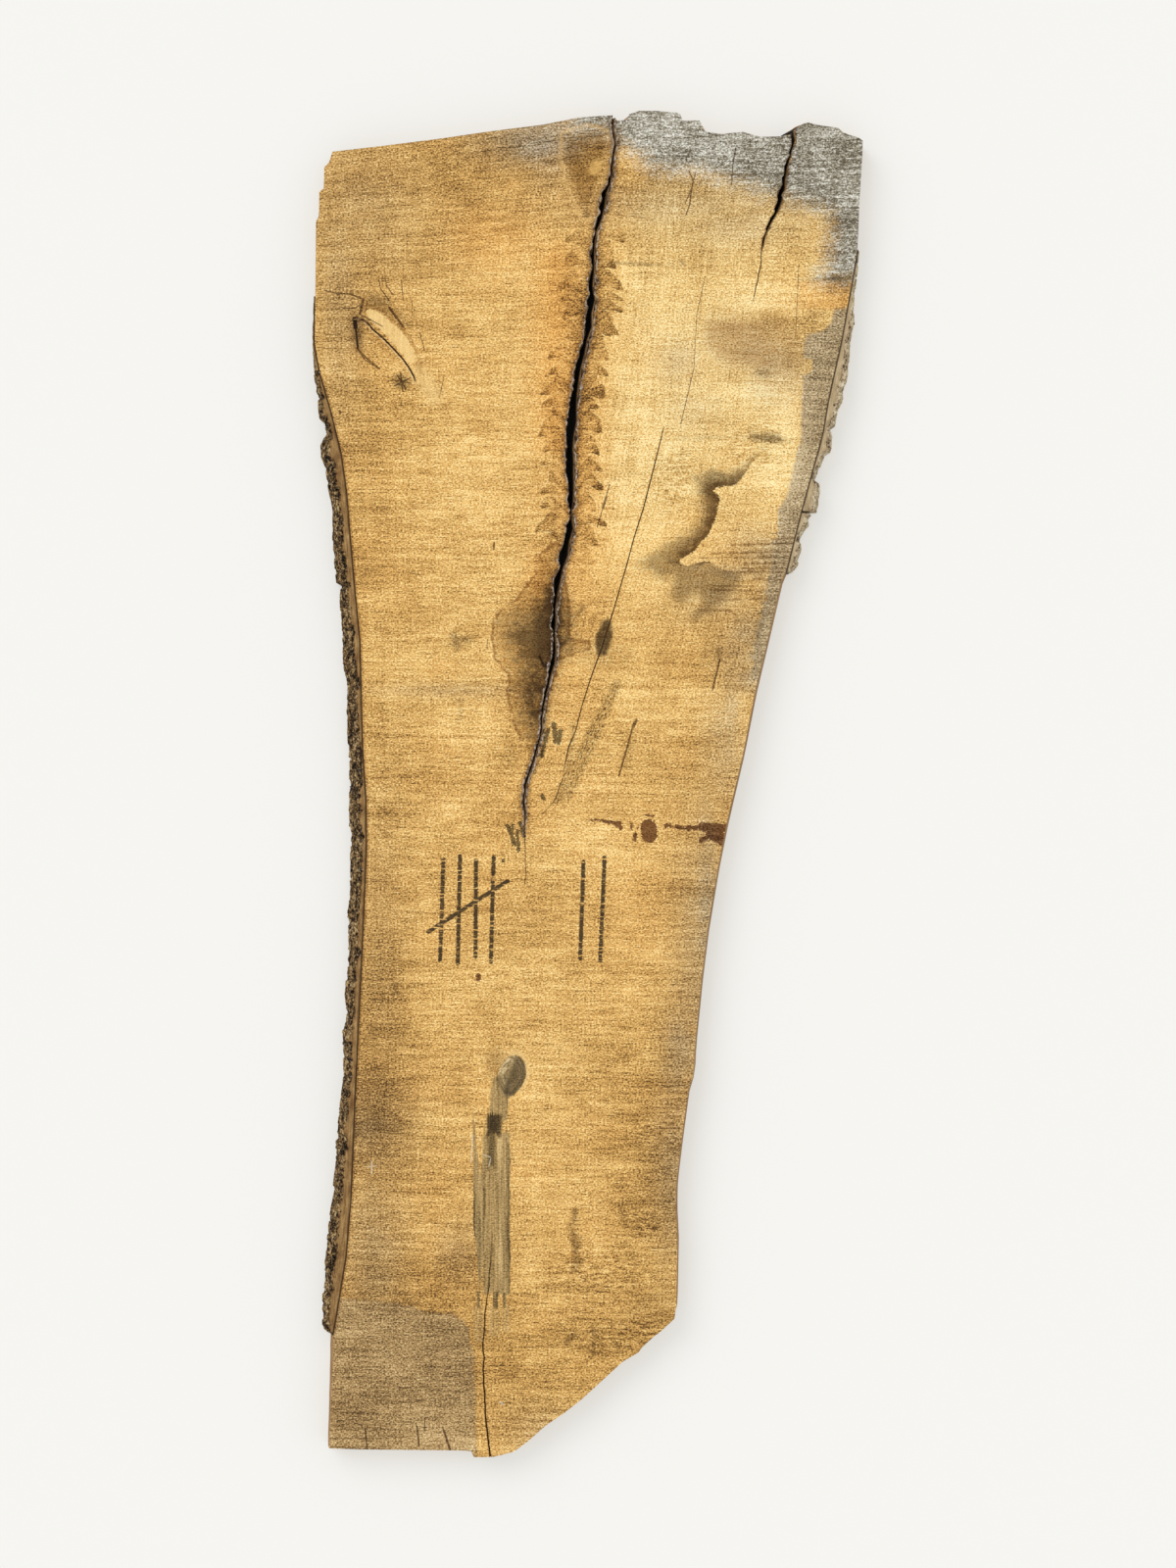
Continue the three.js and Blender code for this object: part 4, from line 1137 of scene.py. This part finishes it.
def scar(s, at, colour, arc, arc_share, band, ragged, fibre, grit):
    """The torn branch scar: a smooth cream band over a long check, and a dark hole at its top, with painted shade
    above the band, along its upper rim and in the check and the hole, and a painted highlight on the check's
    lower lip.
    """
    # Painted shade on the hollow's wall above the cream band
    shade = s.step(s.stroke(at, (-398, 878), (-352, 852)) + ragged * 22, 18, 4)
    colour = s.tinted(shade * 0.5, colour, (0.52, 0.44, 0.36))
    below = s.step(arc, -22, -4) * s.step(arc, 0, -3) * s.step(arc_share, 0.1, 0.3)
    colour = s.tinted(below * 0.3, colour, (0.72, 0.6, 0.46))
    fan = s.step(s.stroke(at, (-306, 745), (-278, 702)) + ragged * 26 + fibre * 16, 26, 4)
    smooth = s.ramp(0.5 + fibre * 0.5 + grit * 0.5, [
        (0.2, srgb(204, 160, 94)), (0.5, srgb(234, 198, 130)), (0.8, srgb(250, 226, 168))])
    pale = s.step(band + ragged * 12, -1, 3)
    colour = s.mix(s.most(pale * 0.9, fan * 0.5), colour, smooth)
    # Painted shade along the band's upper rim, just outside it
    over = s.step(s.size(band + 3 + ragged * 12), 4.5, 1) * s.step(arc, 8, 16)
    colour = s.tinted(over * 0.5, colour, (0.5, 0.4, 0.3))
    # Painted highlight along the lower lip of the check
    painted_check_highlight = s.step(s.size(arc + 3.2), 1.4, 0.3) * s.step(arc_share, 0.12, 0.2)
    colour = s.mix(painted_check_highlight * 0.6, colour, srgb(238, 206, 150))
    # The check and the hole are painted near black: painted shade in their depths
    split = s.step(s.size(arc) + ragged * 1.6, 2.1, 0.6) * s.step(arc_share, 0.03, 0.1)
    hole = s.least(s.stroke(at, (-423, 843), (-421, 827)) - 3.4, s.stroke(at, (-421, 827), (-417, 790)) - 1.3)
    colour = s.tinted(s.step(hole + ragged * 6, 16, 2) * 0.5, colour, (0.42, 0.34, 0.27))
    split = s.most(split * s.step(arc_share, 1.0, 0.9), s.step(hole + ragged * 3, 1.2, -0.8))
    return s.mix(split, colour, srgb(40, 24, 16)), split, pale


def sawn_wood():
    """Dry pecan as the mill left it: saw marks across, fibres along, and the weather's stains."""
    s = Finish("sawn_wood")
    x, y, z = s.place()
    up = s.facing_up()
    left, right, main, second = s.layer("edges")
    face, grain, bank, row = s.layer("lines")
    tone, dull, dark, warm = s.layer("tints")
    foot, core, river, patch = s.layer("stains")
    silver, edge_grey, low, cone = s.layer("zones")
    arc, arc_share, band, torn = s.layer("scar")
    at = s.node("ShaderNodeCombineXYZ", {}, {0: x, 1: y})
    beside = s.size(main)
    crack = s.least(beside, s.size(second))

    # Saw marks lie across, wavering a little, and turn with the slanted end of the left limb
    wave = (s.noise(x / 330, y / 200, 1) - 0.5) * 16 + (s.noise(x / 30, y / 30, 2) - 0.5) * 3
    slant = s.step(y, 760, 1190) * s.least(x - 40, 0) * 0.13
    sawn_y = y + wave - slant
    grit = s.noise(x / 3.4, y / 2.5, 11, 1) - 0.5
    fuzz = s.noise(x / 8, sawn_y / 1.7, 3, 2, 0.65) - 0.5
    lines = s.noise(x / 44, sawn_y / 3.1, 4, 2, 0.6) - 0.5
    pitch = s.noise(x / 130, sawn_y / 7.2, 5, 1) - 0.5
    broad = s.noise(x / 260, sawn_y / 24, 6, 2) - 0.5
    scratch = s.step(s.size(s.noise(x / 75, sawn_y / 4.4, 60, 1) - 0.5), 0.085, 0.012)
    scratch = scratch * s.step(s.noise(x / 42, y / 9, 61, 1), 0.46, 0.66)
    fibre = s.noise(grain / 2.0, y / 110, 7, 2, 0.6) - 0.5
    growth = s.noise(grain / 11, y / 420, 8, 2) - 0.5
    heart = s.noise(grain / 48, y / 700, 9, 1) - 0.5
    cloudy = s.noise(x / 55, y / 40, 10, 3) - 0.5
    ragged = s.noise(x / 8, y / 6, 17, 3, 0.6) - 0.5
    mottle = s.noise(x / 20, y / 15, 18, 3) - 0.5
    limb = s.step(main, 12, 50) * s.step(x, 330, 260) * s.step(y, 60, 300)
    dots = s.step(s.noise(grain / 3.4, y / 90, 62, 1), 0.5, 0.62) * s.step(
        s.noise(x / 60, sawn_y / 2.7, 63, 1), 0.48, 0.6)

    chatter = 0.7 + 0.6 * s.noise(x / 190, y / 70, 12)
    # The saw marks' light and dark bands are partly the fibres' own colour and partly painted shading of the
    # marks' ridges and grooves, from the same noises that raise the relief
    saw = chatter * (0.95 * fuzz + 0.6 * lines + 0.45 * pitch - 0.12 * scratch) * (1 - 0.35 * limb)
    light = (tone + 0.01 + saw + 1.75 * grit + 0.2 * broad + 0.14 * growth + 0.06 * heart
             + 0.3 * cloudy + 0.26 * mottle + (0.2 + 0.2 * limb) * fibre - 0.2 * limb * dots
             - 0.03 * limb)

    # The feather figure: lobes that sweep up and away from the crack, each with painted shade inside its rim, a
    # painted shadow cast below its tip and a painted highlight along the tip
    bend_x, bend_y = s.noise(x / 24, y / 24, 40, 1) - 0.5, s.noise(x / 24, y / 24, 41, 1) - 0.5
    flank = s.step(main, -1, 1) * 37
    climb = 0 - (y + (s.noise(flank, y / 80, 64, 1) - 0.5) * 80 + beside * 0.35 + bend_y * 14) / 34
    tooth = s.math("FRACT", climb)
    length = s.noise(s.math("FLOOR", climb) * 5.3, flank, 43, 0)
    reach = 17 + 66 * length * s.step(tooth, -0.3, 0.7) * s.step(tooth, 1.0, 0.8) + bend_x * 14
    stretch = s.step(y, 350, 480) * s.step(y, 1060, 930)
    plume = s.step(reach - beside, -2, 3) * stretch
    lobes = s.cells((beside + bend_x * 34) / 34, (y - beside * 0.8) / 31, flank)
    curl = y - beside * 1.4 + beside * beside * 0.014 + bend_y * 16
    vane = s.noise(beside / 44, curl / 9, flank + 13, 2) - 0.5
    # Painted shade in a crescent inside each lobe's rim, a painted shadow just below each tip, and a painted
    # highlight along each tip
    painted_crescent_shade = s.step(reach - beside, 17, 5) * s.step(tooth, 0.3, 0.75) * plume
    painted_cast_shadow = s.step(beside - reach, 16, 1) * (1 - plume) * s.step(tooth, 0.34, 0.04) * stretch
    tip = s.step(s.size(reach - beside), 3, 0.8) * s.step(tooth, 0.9, 0.3) * stretch
    plumed = 0.15 + 0.11 * s.step(main, -1, 1)
    light = light + plume * (vane * 0.9 - (lobes - 0.42) * 0.35 - plumed)
    light = light - painted_crescent_shade * 0.2 - painted_cast_shadow * 0.1 + tip * 0.14
    # Torn grain: lighter where the flakes stand up and darker between them, painted highlights and shade that
    # follow the same noise as the flakes' relief
    flake = s.noise((x + y * 0.4) / 15, y / 4.5, 15, 3, 0.65) - 0.5
    light = light + torn * (flake * 1.5 - 0.03)
    colour = s.ramp(light, [
        (0.0, srgb(84, 58, 26)), (0.2, srgb(138, 100, 50)), (0.4, srgb(186, 142, 77)),
        (0.6, srgb(217, 171, 99)), (0.78, srgb(240, 196, 119)), (0.9, srgb(250, 214, 141)),
        (1.0, srgb(255, 230, 166)),
    ])
    colour = s.tinted(s.limit(warm), colour, (1.0, 0.87, 0.73))
    bleached = s.step(main, 30, 80) * s.step(y, 420, 560) * (1 - warm)
    colour = s.tinted(bleached * 0.75, colour, (1.0, 1.09, 1.25))

    # Weathering: a dull brown-grey, and silver grey along the fork end
    aged = s.ramp(light - 0.08, [
        (0.0, srgb(66, 55, 38)), (0.3, srgb(124, 105, 76)), (0.55, srgb(170, 149, 114)),
        (0.8, srgb(204, 184, 146)), (1.0, srgb(228, 212, 180)),
    ])
    lowest = s.step(low + ragged * 14 + mottle * 12, -4, 5)
    crisp = s.step(y, 470, 520)
    crumbs = ragged * 9 + (grit * 14 + fuzz * 6) * crisp + mottle * (30 - 26 * crisp)
    at_edge = s.step(edge_grey + crumbs, -2.5, 4)
    dulled = s.most(s.most(dull + (cloudy + lines * 0.6) * dull, lowest * 0.6), at_edge * 0.92)
    colour = s.mix(s.limit(dulled), colour, aged)
    rim_low = s.step(s.size(low + ragged * 14 + mottle * 12 - 2), 6, 1) * s.step(ragged, -0.1, 0.1)
    colour = s.tinted(rim_low * 0.35, colour, (0.5, 0.4, 0.3))

    hoar = s.noise(x / 9, sawn_y / 5.5, 66, 3, 0.75) - 0.5
    frost = (0.48 + hoar * 2.1 + lines * 1.0 + fuzz * 1.2 + pitch * 0.8 + grit * 2.1 + cloudy * 1.1
             - 0.16 * s.step(x, 220, 420))
    aged_silver = s.ramp(frost, [
        (0.0, srgb(88, 80, 66)), (0.25, srgb(136, 128, 110)), (0.5, srgb(168, 163, 148)),
        (0.72, srgb(196, 193, 180)), (1.0, srgb(236, 235, 224)),
    ])
    silvered = s.step(silver + hoar * 34 + mottle * 40, -38, 26) * (0.3 + 0.68 * s.step(x, -50, 0))
    colour = s.mix(silvered, colour, aged_silver)
    end_rim = s.step(s.size(row) + ragged * 9, HALF_LENGTH - 6, HALF_LENGTH - 1)
    colour = s.tinted(end_rim * 0.3, colour, (0.4, 0.36, 0.3))

    # Water stains, from the pale washed ones to the dark ones
    ragged_foot = foot + ragged * 8 + mottle * 14
    tide = s.step(s.size(ragged_foot), 4.2, 1.2) * s.step(cloudy, -0.16, -0.04)
    colour = s.tinted(tide * 0.85, colour, (0.45, 0.34, 0.24))
    colour = s.tinted(s.step(ragged_foot, -2, 8) * (0.62 + cloudy), colour, (0.66, 0.55, 0.42))
    soaked = s.step(core + ragged * 34 + mottle * 60, -30, 24) * s.limit(1.0 + cloudy * 1.7 + lines + ragged)
    soaked = soaked * (0.88 + 0.22 * s.step(beside, 44, 6))
    near_bank = s.step(bank + mottle * 10, -30, -3) * s.step(y, 392, 404)
    flow = s.step(river + ragged * 12 + mottle * 24, -14, 13) * (0.62 + 0.4 * near_bank)
    flow = flow * s.step(bank + ragged * 5 + grit * 5, 1.4, -1.4) * (0.5 + 0.5 * s.step(y, 596, 540))
    flow = flow * s.limit(0.98 + cloudy * 1.3 + mottle * 0.9 + lines * 0.5)
    spots = s.step(dark + (ragged * 0.35 + mottle * 0.5) * s.step(dark, 0.02, 0.3), 0.08, 1.05)
    stain = s.most(soaked, spots)
    colour = s.tinted(s.limit(stain), colour, (0.15, 0.14, 0.14))
    colour = s.tinted(s.limit(flow), colour, (0.17, 0.13, 0.095))
    browned = s.step(patch + ragged * 14 + mottle * 26, -5, 26) * (0.55 + cloudy)
    colour = s.tinted(s.limit(browned), colour, (0.56, 0.45, 0.37))
    cone_in = cone + ragged * 8 + mottle * 12
    colour = s.tinted(s.step(cone_in, -5, 12) * 0.75, colour, (0.5, 0.42, 0.3))
    colour = s.mix(s.step(s.size(cone_in + 7), 5, 1) * 0.35, colour, srgb(222, 182, 116))
    eye = s.step(s.stroke(at, (10, 1112), (17, 1122)) + ragged * 12, 15, 3)
    colour = s.mix(eye * 0.6, colour, srgb(232, 186, 108))
    ruled = s.step(strokes(s, at, RULED) + ragged * 4 + mottle * 8, 2.4, -1.6)
    colour = s.tinted(ruled * 0.8, colour, (0.42, 0.32, 0.22))
    drops = s.step(strokes(s, at, DROPS) + ragged * 11 + grit * 4, 0.8, -1.4)
    colour = s.tinted(drops * 0.95, colour, (0.22, 0.14, 0.12))

    dash = s.step(s.noise(grain / 1.4, y / 9, 19, 1), 0.67, 0.75)
    peppered = s.step(s.noise(x / 70, y / 55, 20, 2), 0.47, 0.64)
    pepper = s.step(s.noise(x / 3.2, y / 2.6, 21, 1), 0.64, 0.72) * peppered
    colour = s.tinted(dash * 0.5, colour, (0.5, 0.4, 0.32))
    colour = s.tinted(pepper * 0.75, colour, (0.34, 0.27, 0.22))

    colour = knot_and_trail(s, at, colour, x, y, z, mottle, grit, fuzz)
    colour, split, pale = scar(s, at, colour, arc, arc_share, band, ragged, fibre, grit)

    hair = s.step(strokes(s, at, HAIRS) + ragged * 2, 0.8, -0.6)
    colour = s.tinted(hair * 0.88, colour, (0.18, 0.13, 0.1))
    smudge = s.step(strokes(s, at, SMUDGES) + mottle * 24 + grit * 8, 7, -9)
    colour = s.tinted(smudge * 0.75, colour, (0.34, 0.3, 0.27))
    mould = s.step(strokes(s, at, MOULD) + ragged * 9 + grit * 5, 1.2, -1.2)
    colour = s.tinted(mould * 0.85, colour, (0.12, 0.13, 0.14))
    dashes = s.step(s.noise((x - y * 0.4) / 2.2, (y + x * 0.4) / 8, 42, 1), 0.5, 0.62)
    speckled = s.step(strokes(s, at, DASHES) + ragged * 14, 4, -5)
    colour = s.tinted(speckled * (0.2 + 0.74 * dashes), colour, (0.2, 0.18, 0.15))
    chalk = s.step(strokes(s, at, CHALK) + grit * 4, 0.5, -0.7)
    colour = s.mix(chalk * 0.5, colour, srgb(236, 226, 200))
    rubbed = s.step(s.noise(x / 26, sawn_y / 3.3, 25, 2), 0.34, 0.46)
    crayon = s.step(strokes(s, at, CRAYON) + ragged * 5, 0.8, -1.2) * rubbed
    colour = s.mix(crayon * 0.92, colour, srgb(40, 31, 24))

    # Beside the open cracks: a dull margin, speckled torn fibres on the very lip, and painted shade as a dark
    # hairline along each check where it is sunk
    open_here = s.step(y, -120, -40)
    margin = s.step(beside + ragged * 12, 14, 3) * open_here
    colour = s.tinted(margin * 0.7, colour, (0.4, 0.33, 0.27))
    torn_lip = s.step(beside + ragged * 14, 4.6, 3) * open_here
    specks = s.ramp(s.noise(x / 5, y / 10, 26, 3, 0.65), [
        (0.4, srgb(26, 19, 16)), (0.5, srgb(78, 62, 50)), (0.58, srgb(140, 126, 114)),
        (0.7, srgb(214, 206, 196)),
    ])
    colour = s.mix(torn_lip * (0.66 + 0.24 * s.step(y, 260, 220)), colour, specks)
    pale_lip = s.step(s.size(beside - 2.4 + ragged * 7), 1.5, 0.5) * s.step(
        s.noise(x / 7, y / 11, 67, 2), 0.46, 0.56)
    colour = s.mix(pale_lip * open_here * 0.55, colour, srgb(204, 186, 162))
    second_lip = s.step(s.size(second) + ragged * 3, 3.4, 1.2) * s.step(y, 950, 975)
    colour = s.tinted(second_lip * 0.6, colour, (0.35, 0.28, 0.22))
    # Painted shade: a dark hairline along each check where it is sunk into the face
    main_open = s.most(s.step(y, -205, -180), s.step(y, -830, -870))
    face_open = s.step(y, 8, 40) * s.step(y, 690, 640)
    hairline_shade_distance = s.least(beside + 9 * (1 - main_open), s.size(face) + 9 * (1 - face_open))
    hairline_shade_distance = s.least(hairline_shade_distance, s.size(second) + 9 * s.step(y, 885, 868))
    colour = s.tinted(s.step(hairline_shade_distance + ragged * 2, 1.1, 0.1) * 0.8, colour, (0.2, 0.14, 0.1))
    seam = s.step(left, 5, 1) * s.step(y, -1010, -990) * s.step(y, 760, 700)
    colour = s.tinted(seam * 0.6, colour, (0.5, 0.4, 0.3))

    # The sides show fluted sapwood, and the ends their rings; the cracks and the face check's groove get painted
    # shade
    flutes = s.noise(z / 9, y / 90, 27, 3)
    side = s.ramp(flutes + (s.noise(z / 2.5, y / 30, 28, 2) - 0.5) * 0.5, [
        (0.2, srgb(92, 66, 40)), (0.5, srgb(150, 114, 72)), (0.85, srgb(196, 160, 112)),
    ])
    rings_at = ((x + 60) ** 2 + (z + 160) ** 2) ** 0.5
    end_grain = s.ramp(s.noise(rings_at / 4, s.math("ARCTAN2", z + 160, x + 60) * 30, 29, 2), [
        (0.25, srgb(96, 76, 50)), (0.5, srgb(150, 124, 86)), (0.8, srgb(190, 166, 124)),
    ])
    at_end = s.step(s.size(row), HALF_LENGTH - 1.5, HALF_LENGTH - 0.2)
    side = s.mix(at_end, side, end_grain)
    wall = s.step(s.size(up), 0.62, 0.4)
    colour = s.mix(wall, colour, side)
    sunk = THICKNESS - z
    # Painted shade: the cracks' walls and floor go near black with depth below the face
    painted_crack_shade = s.step(crack, 12, 5) * s.step(sunk, 2.5, 13)
    colour = s.mix(painted_crack_shade, colour, srgb(14, 10, 8))
    # Painted shade in the face check's sunk groove
    groove = s.step(s.size(face), 2, 0.5) * s.step(sunk, 1.2, 4)
    colour = s.mix(groove * 0.85, colour, srgb(66, 44, 26))

    relief = (chatter * (fuzz * 0.9 + lines * 0.6 - scratch * 0.3) + fibre * 0.25 + grit * 0.8
              + torn * flake * 2.4 - plume * (lobes * 3 + vane * 2) + silvered * hoar * 2)
    relief = relief * (1 - pale * 0.7) * (1 - wall) + wall * flutes * 1.5
    relief = relief - split * 2 - dash * 0.3
    return s.done(colour, 0.78 - 0.2 * fuzz, relief, 0.12)


def bark_finish(name, inner_stops, rough_stops, live, flecks):
    """Bark: on the sawn section a smooth banded inner part beside the wood, as wide as the share
    live, then crumbled cork with black pits, and the same cork over the whole outside."""
    s = Finish(name)
    x, y, z = s.place()
    up = s.facing_up()
    thick, hollow, share, spare = s.layer("bark")
    band = s.noise(thick / 2.2, y / 60, 31, 2, 0.6) - 0.5
    long_fibre = s.noise(x / 2.5, y / 22, 32, 3) - 0.5
    crumb = s.noise(x / 3.4, y / 4.4, z / 3.4, 3, 0.65) - 0.5
    patch = s.noise(x / 15, y / 22, z / 15, 2) - 0.5
    grit = s.noise(x / 2.2, y / 2.2, z / 2.2 + 5, 1) - 0.5
    inner = s.ramp(0.5 + band * 0.7 + long_fibre * 0.5 + patch * 0.5 + grit * 0.35, inner_stops)
    pitted = s.cells(x / 9, y / 13, z / 9)
    # Painted shade: the cork is darker by the depth of the furrows
    cork = 0.6 + crumb * 2.2 + patch * 0.7 - hollow * 0.3 + (pitted - 0.45) * 0.5
    outside = s.ramp(cork, rough_stops)
    speck = s.step(s.noise(x / 3.0, y / 4.0, z / 3.0 + 9, 2), 0.62, 0.7)
    outside = s.mix(speck * flecks, outside, srgb(206, 198, 176))
    edge = live + patch * 0.4 + crumb * 0.3
    smooth_part = s.step(share - edge, 0.06, -0.06)
    colour = s.mix(smooth_part, outside, inner)
    seam = s.step(thick, 3.6, 1.6)
    colour = s.mix(seam * 0.85, colour, srgb(44, 29, 18))
    ruddy = s.step(s.size(share - edge - 0.02), 0.12, 0.03) * s.step(long_fibre, 0.02, 0.14)
    colour = s.mix(ruddy * 0.6, colour, srgb(118, 70, 38))
    relief = crumb * 3.2 * (1 - smooth_part * 0.8) + long_fibre * 0.8 + band * 0.6
    return s.done(colour, 0.92, relief, 0.12)


def bark_pieces():
    dark_cork = [(0.24, srgb(12, 9, 7)), (0.44, srgb(46, 33, 20)), (0.6, srgb(94, 70, 42)),
                 (0.78, srgb(144, 114, 72)), (0.95, srgb(192, 168, 124))]
    pale_cork = [(0.1, srgb(28, 20, 16)), (0.26, srgb(104, 84, 62)), (0.46, srgb(166, 146, 114)),
                 (0.72, srgb(200, 182, 148)), (0.95, srgb(226, 214, 186))]
    brown_bast = [(0.1, srgb(76, 52, 31)), (0.4, srgb(122, 91, 54)), (0.62, srgb(157, 124, 79)),
                  (0.9, srgb(196, 166, 116))]
    pale_bast = [(0.1, srgb(118, 98, 70)), (0.5, srgb(178, 156, 120)), (0.9, srgb(212, 194, 158))]
    weathered = [(0.1, srgb(60, 46, 32)), (0.45, srgb(112, 90, 62)), (0.75, srgb(150, 126, 90)),
                 (0.95, srgb(186, 166, 130))]
    left = bark_finish("bark", brown_bast, dark_cork, 0.68, 0.4)
    right = bark_finish("bark_right", pale_bast, pale_cork, 0.6, 0.2)
    inner_bark = bark_finish("inner_bark", brown_bast, weathered, 0.75, 0.15)
    for name, side, outline, roughness, flakes, material, slot, seed in (
        ("bark_left", -1, LEFT_BARK, 1, 1.0, left, "bark", 301),
        ("bark_left_top", -1, LEFT_TOP_BARK, 0, 0.3, inner_bark, "inner_bark", 331),
        ("bark_right", 1, RIGHT_BARK, 0.6, 0.8, right, "bark", 361),
        ("bark_right_low", 1, RIGHT_LOW_BARK, 0.6, 0.8, right, "bark", 391),
    ):
        points, faces, layers = bark_surface(side, outline, roughness, flakes, seed)
        piece(name + "_strip", points, faces, name, material, layers)


def wood_piece():
    points, faces, top, back = wood_surface()
    top_count, back_count = top[0].size, back[0].size
    layers = wood_layers(top, back, points[top_count + back_count:])
    piece("sawn_slab", points, faces, "wood", sawn_wood(), layers)


def stage():
    """A pale floor, a soft even sky, a far and very wide lamp at the upper left, and a camera that
    looks straight down."""
    scene = bpy.context.scene
    scene.view_settings.view_transform = "Standard"
    s = Finish("floor")
    surface = s.node("ShaderNodeBsdfPrincipled", {}, {
        "Base Color": (*FLOOR_COLOUR, 1.0), "Roughness": 0.9, "Specular IOR Level": 0.1,
        "Emission Color": (*FLOOR_GLOW, 1.0), "Emission Strength": 1.0})
    s.node("ShaderNodeOutputMaterial", {}, {"Surface": surface}, None)
    half = FLOOR_SIZE / 2
    mesh = bpy.data.meshes.new("floor")
    corners = [(-half, -half, 0), (half, -half, 0), (half, half, 0), (-half, half, 0)]
    mesh.from_pydata(corners, [], [(0, 1, 2, 3)])
    mesh.materials.append(s.material)
    floor = bpy.data.objects.new("floor", mesh)
    scene.collection.objects.link(floor)

    scene.world = bpy.data.worlds.new("sky")
    scene.world.use_nodes = True
    background = scene.world.node_tree.nodes["Background"]
    background.inputs["Color"].default_value = (1, 1, 1, 1)
    background.inputs["Strength"].default_value = SKY

    lamp = bpy.data.lights.new("lamp", "SUN")
    lamp.angle = math.radians(LAMP_SPREAD)
    lamp.energy = LAMP_POWER
    lamp_object = bpy.data.objects.new("lamp", lamp)
    lamp_object.location = LAMP_PLACE
    lamp_object.rotation_euler = (-Vector(LAMP_PLACE)).to_track_quat("-Z", "Y").to_euler()
    scene.collection.objects.link(lamp_object)

    camera = bpy.data.cameras.new("camera")
    camera.sensor_fit = "VERTICAL"
    camera.sensor_height = SENSOR
    camera.lens = LENS
    camera_object = bpy.data.objects.new("camera", camera)
    camera_object.location = (0, 0, PICTURE_HEIGHT * LENS / SENSOR + THICKNESS / METRE)
    scene.collection.objects.link(camera_object)
    scene.camera = camera_object


# The photograph's 1600 rows span this many metres at the sawn face
PICTURE_HEIGHT = 2.8416
SENSOR = 36.0
LENS = 80.0
FLOOR_SIZE = 60.0
FLOOR_COLOUR = (0.40, 0.40, 0.40)
FLOOR_GLOW = (0.487, 0.478, 0.445)
SKY = 0.87
LAMP_SPREAD = 40
LAMP_POWER = 1.0
LAMP_PLACE = (-3.0, 3.4, 4.4)

wood_piece()
bark_pieces()
stage()
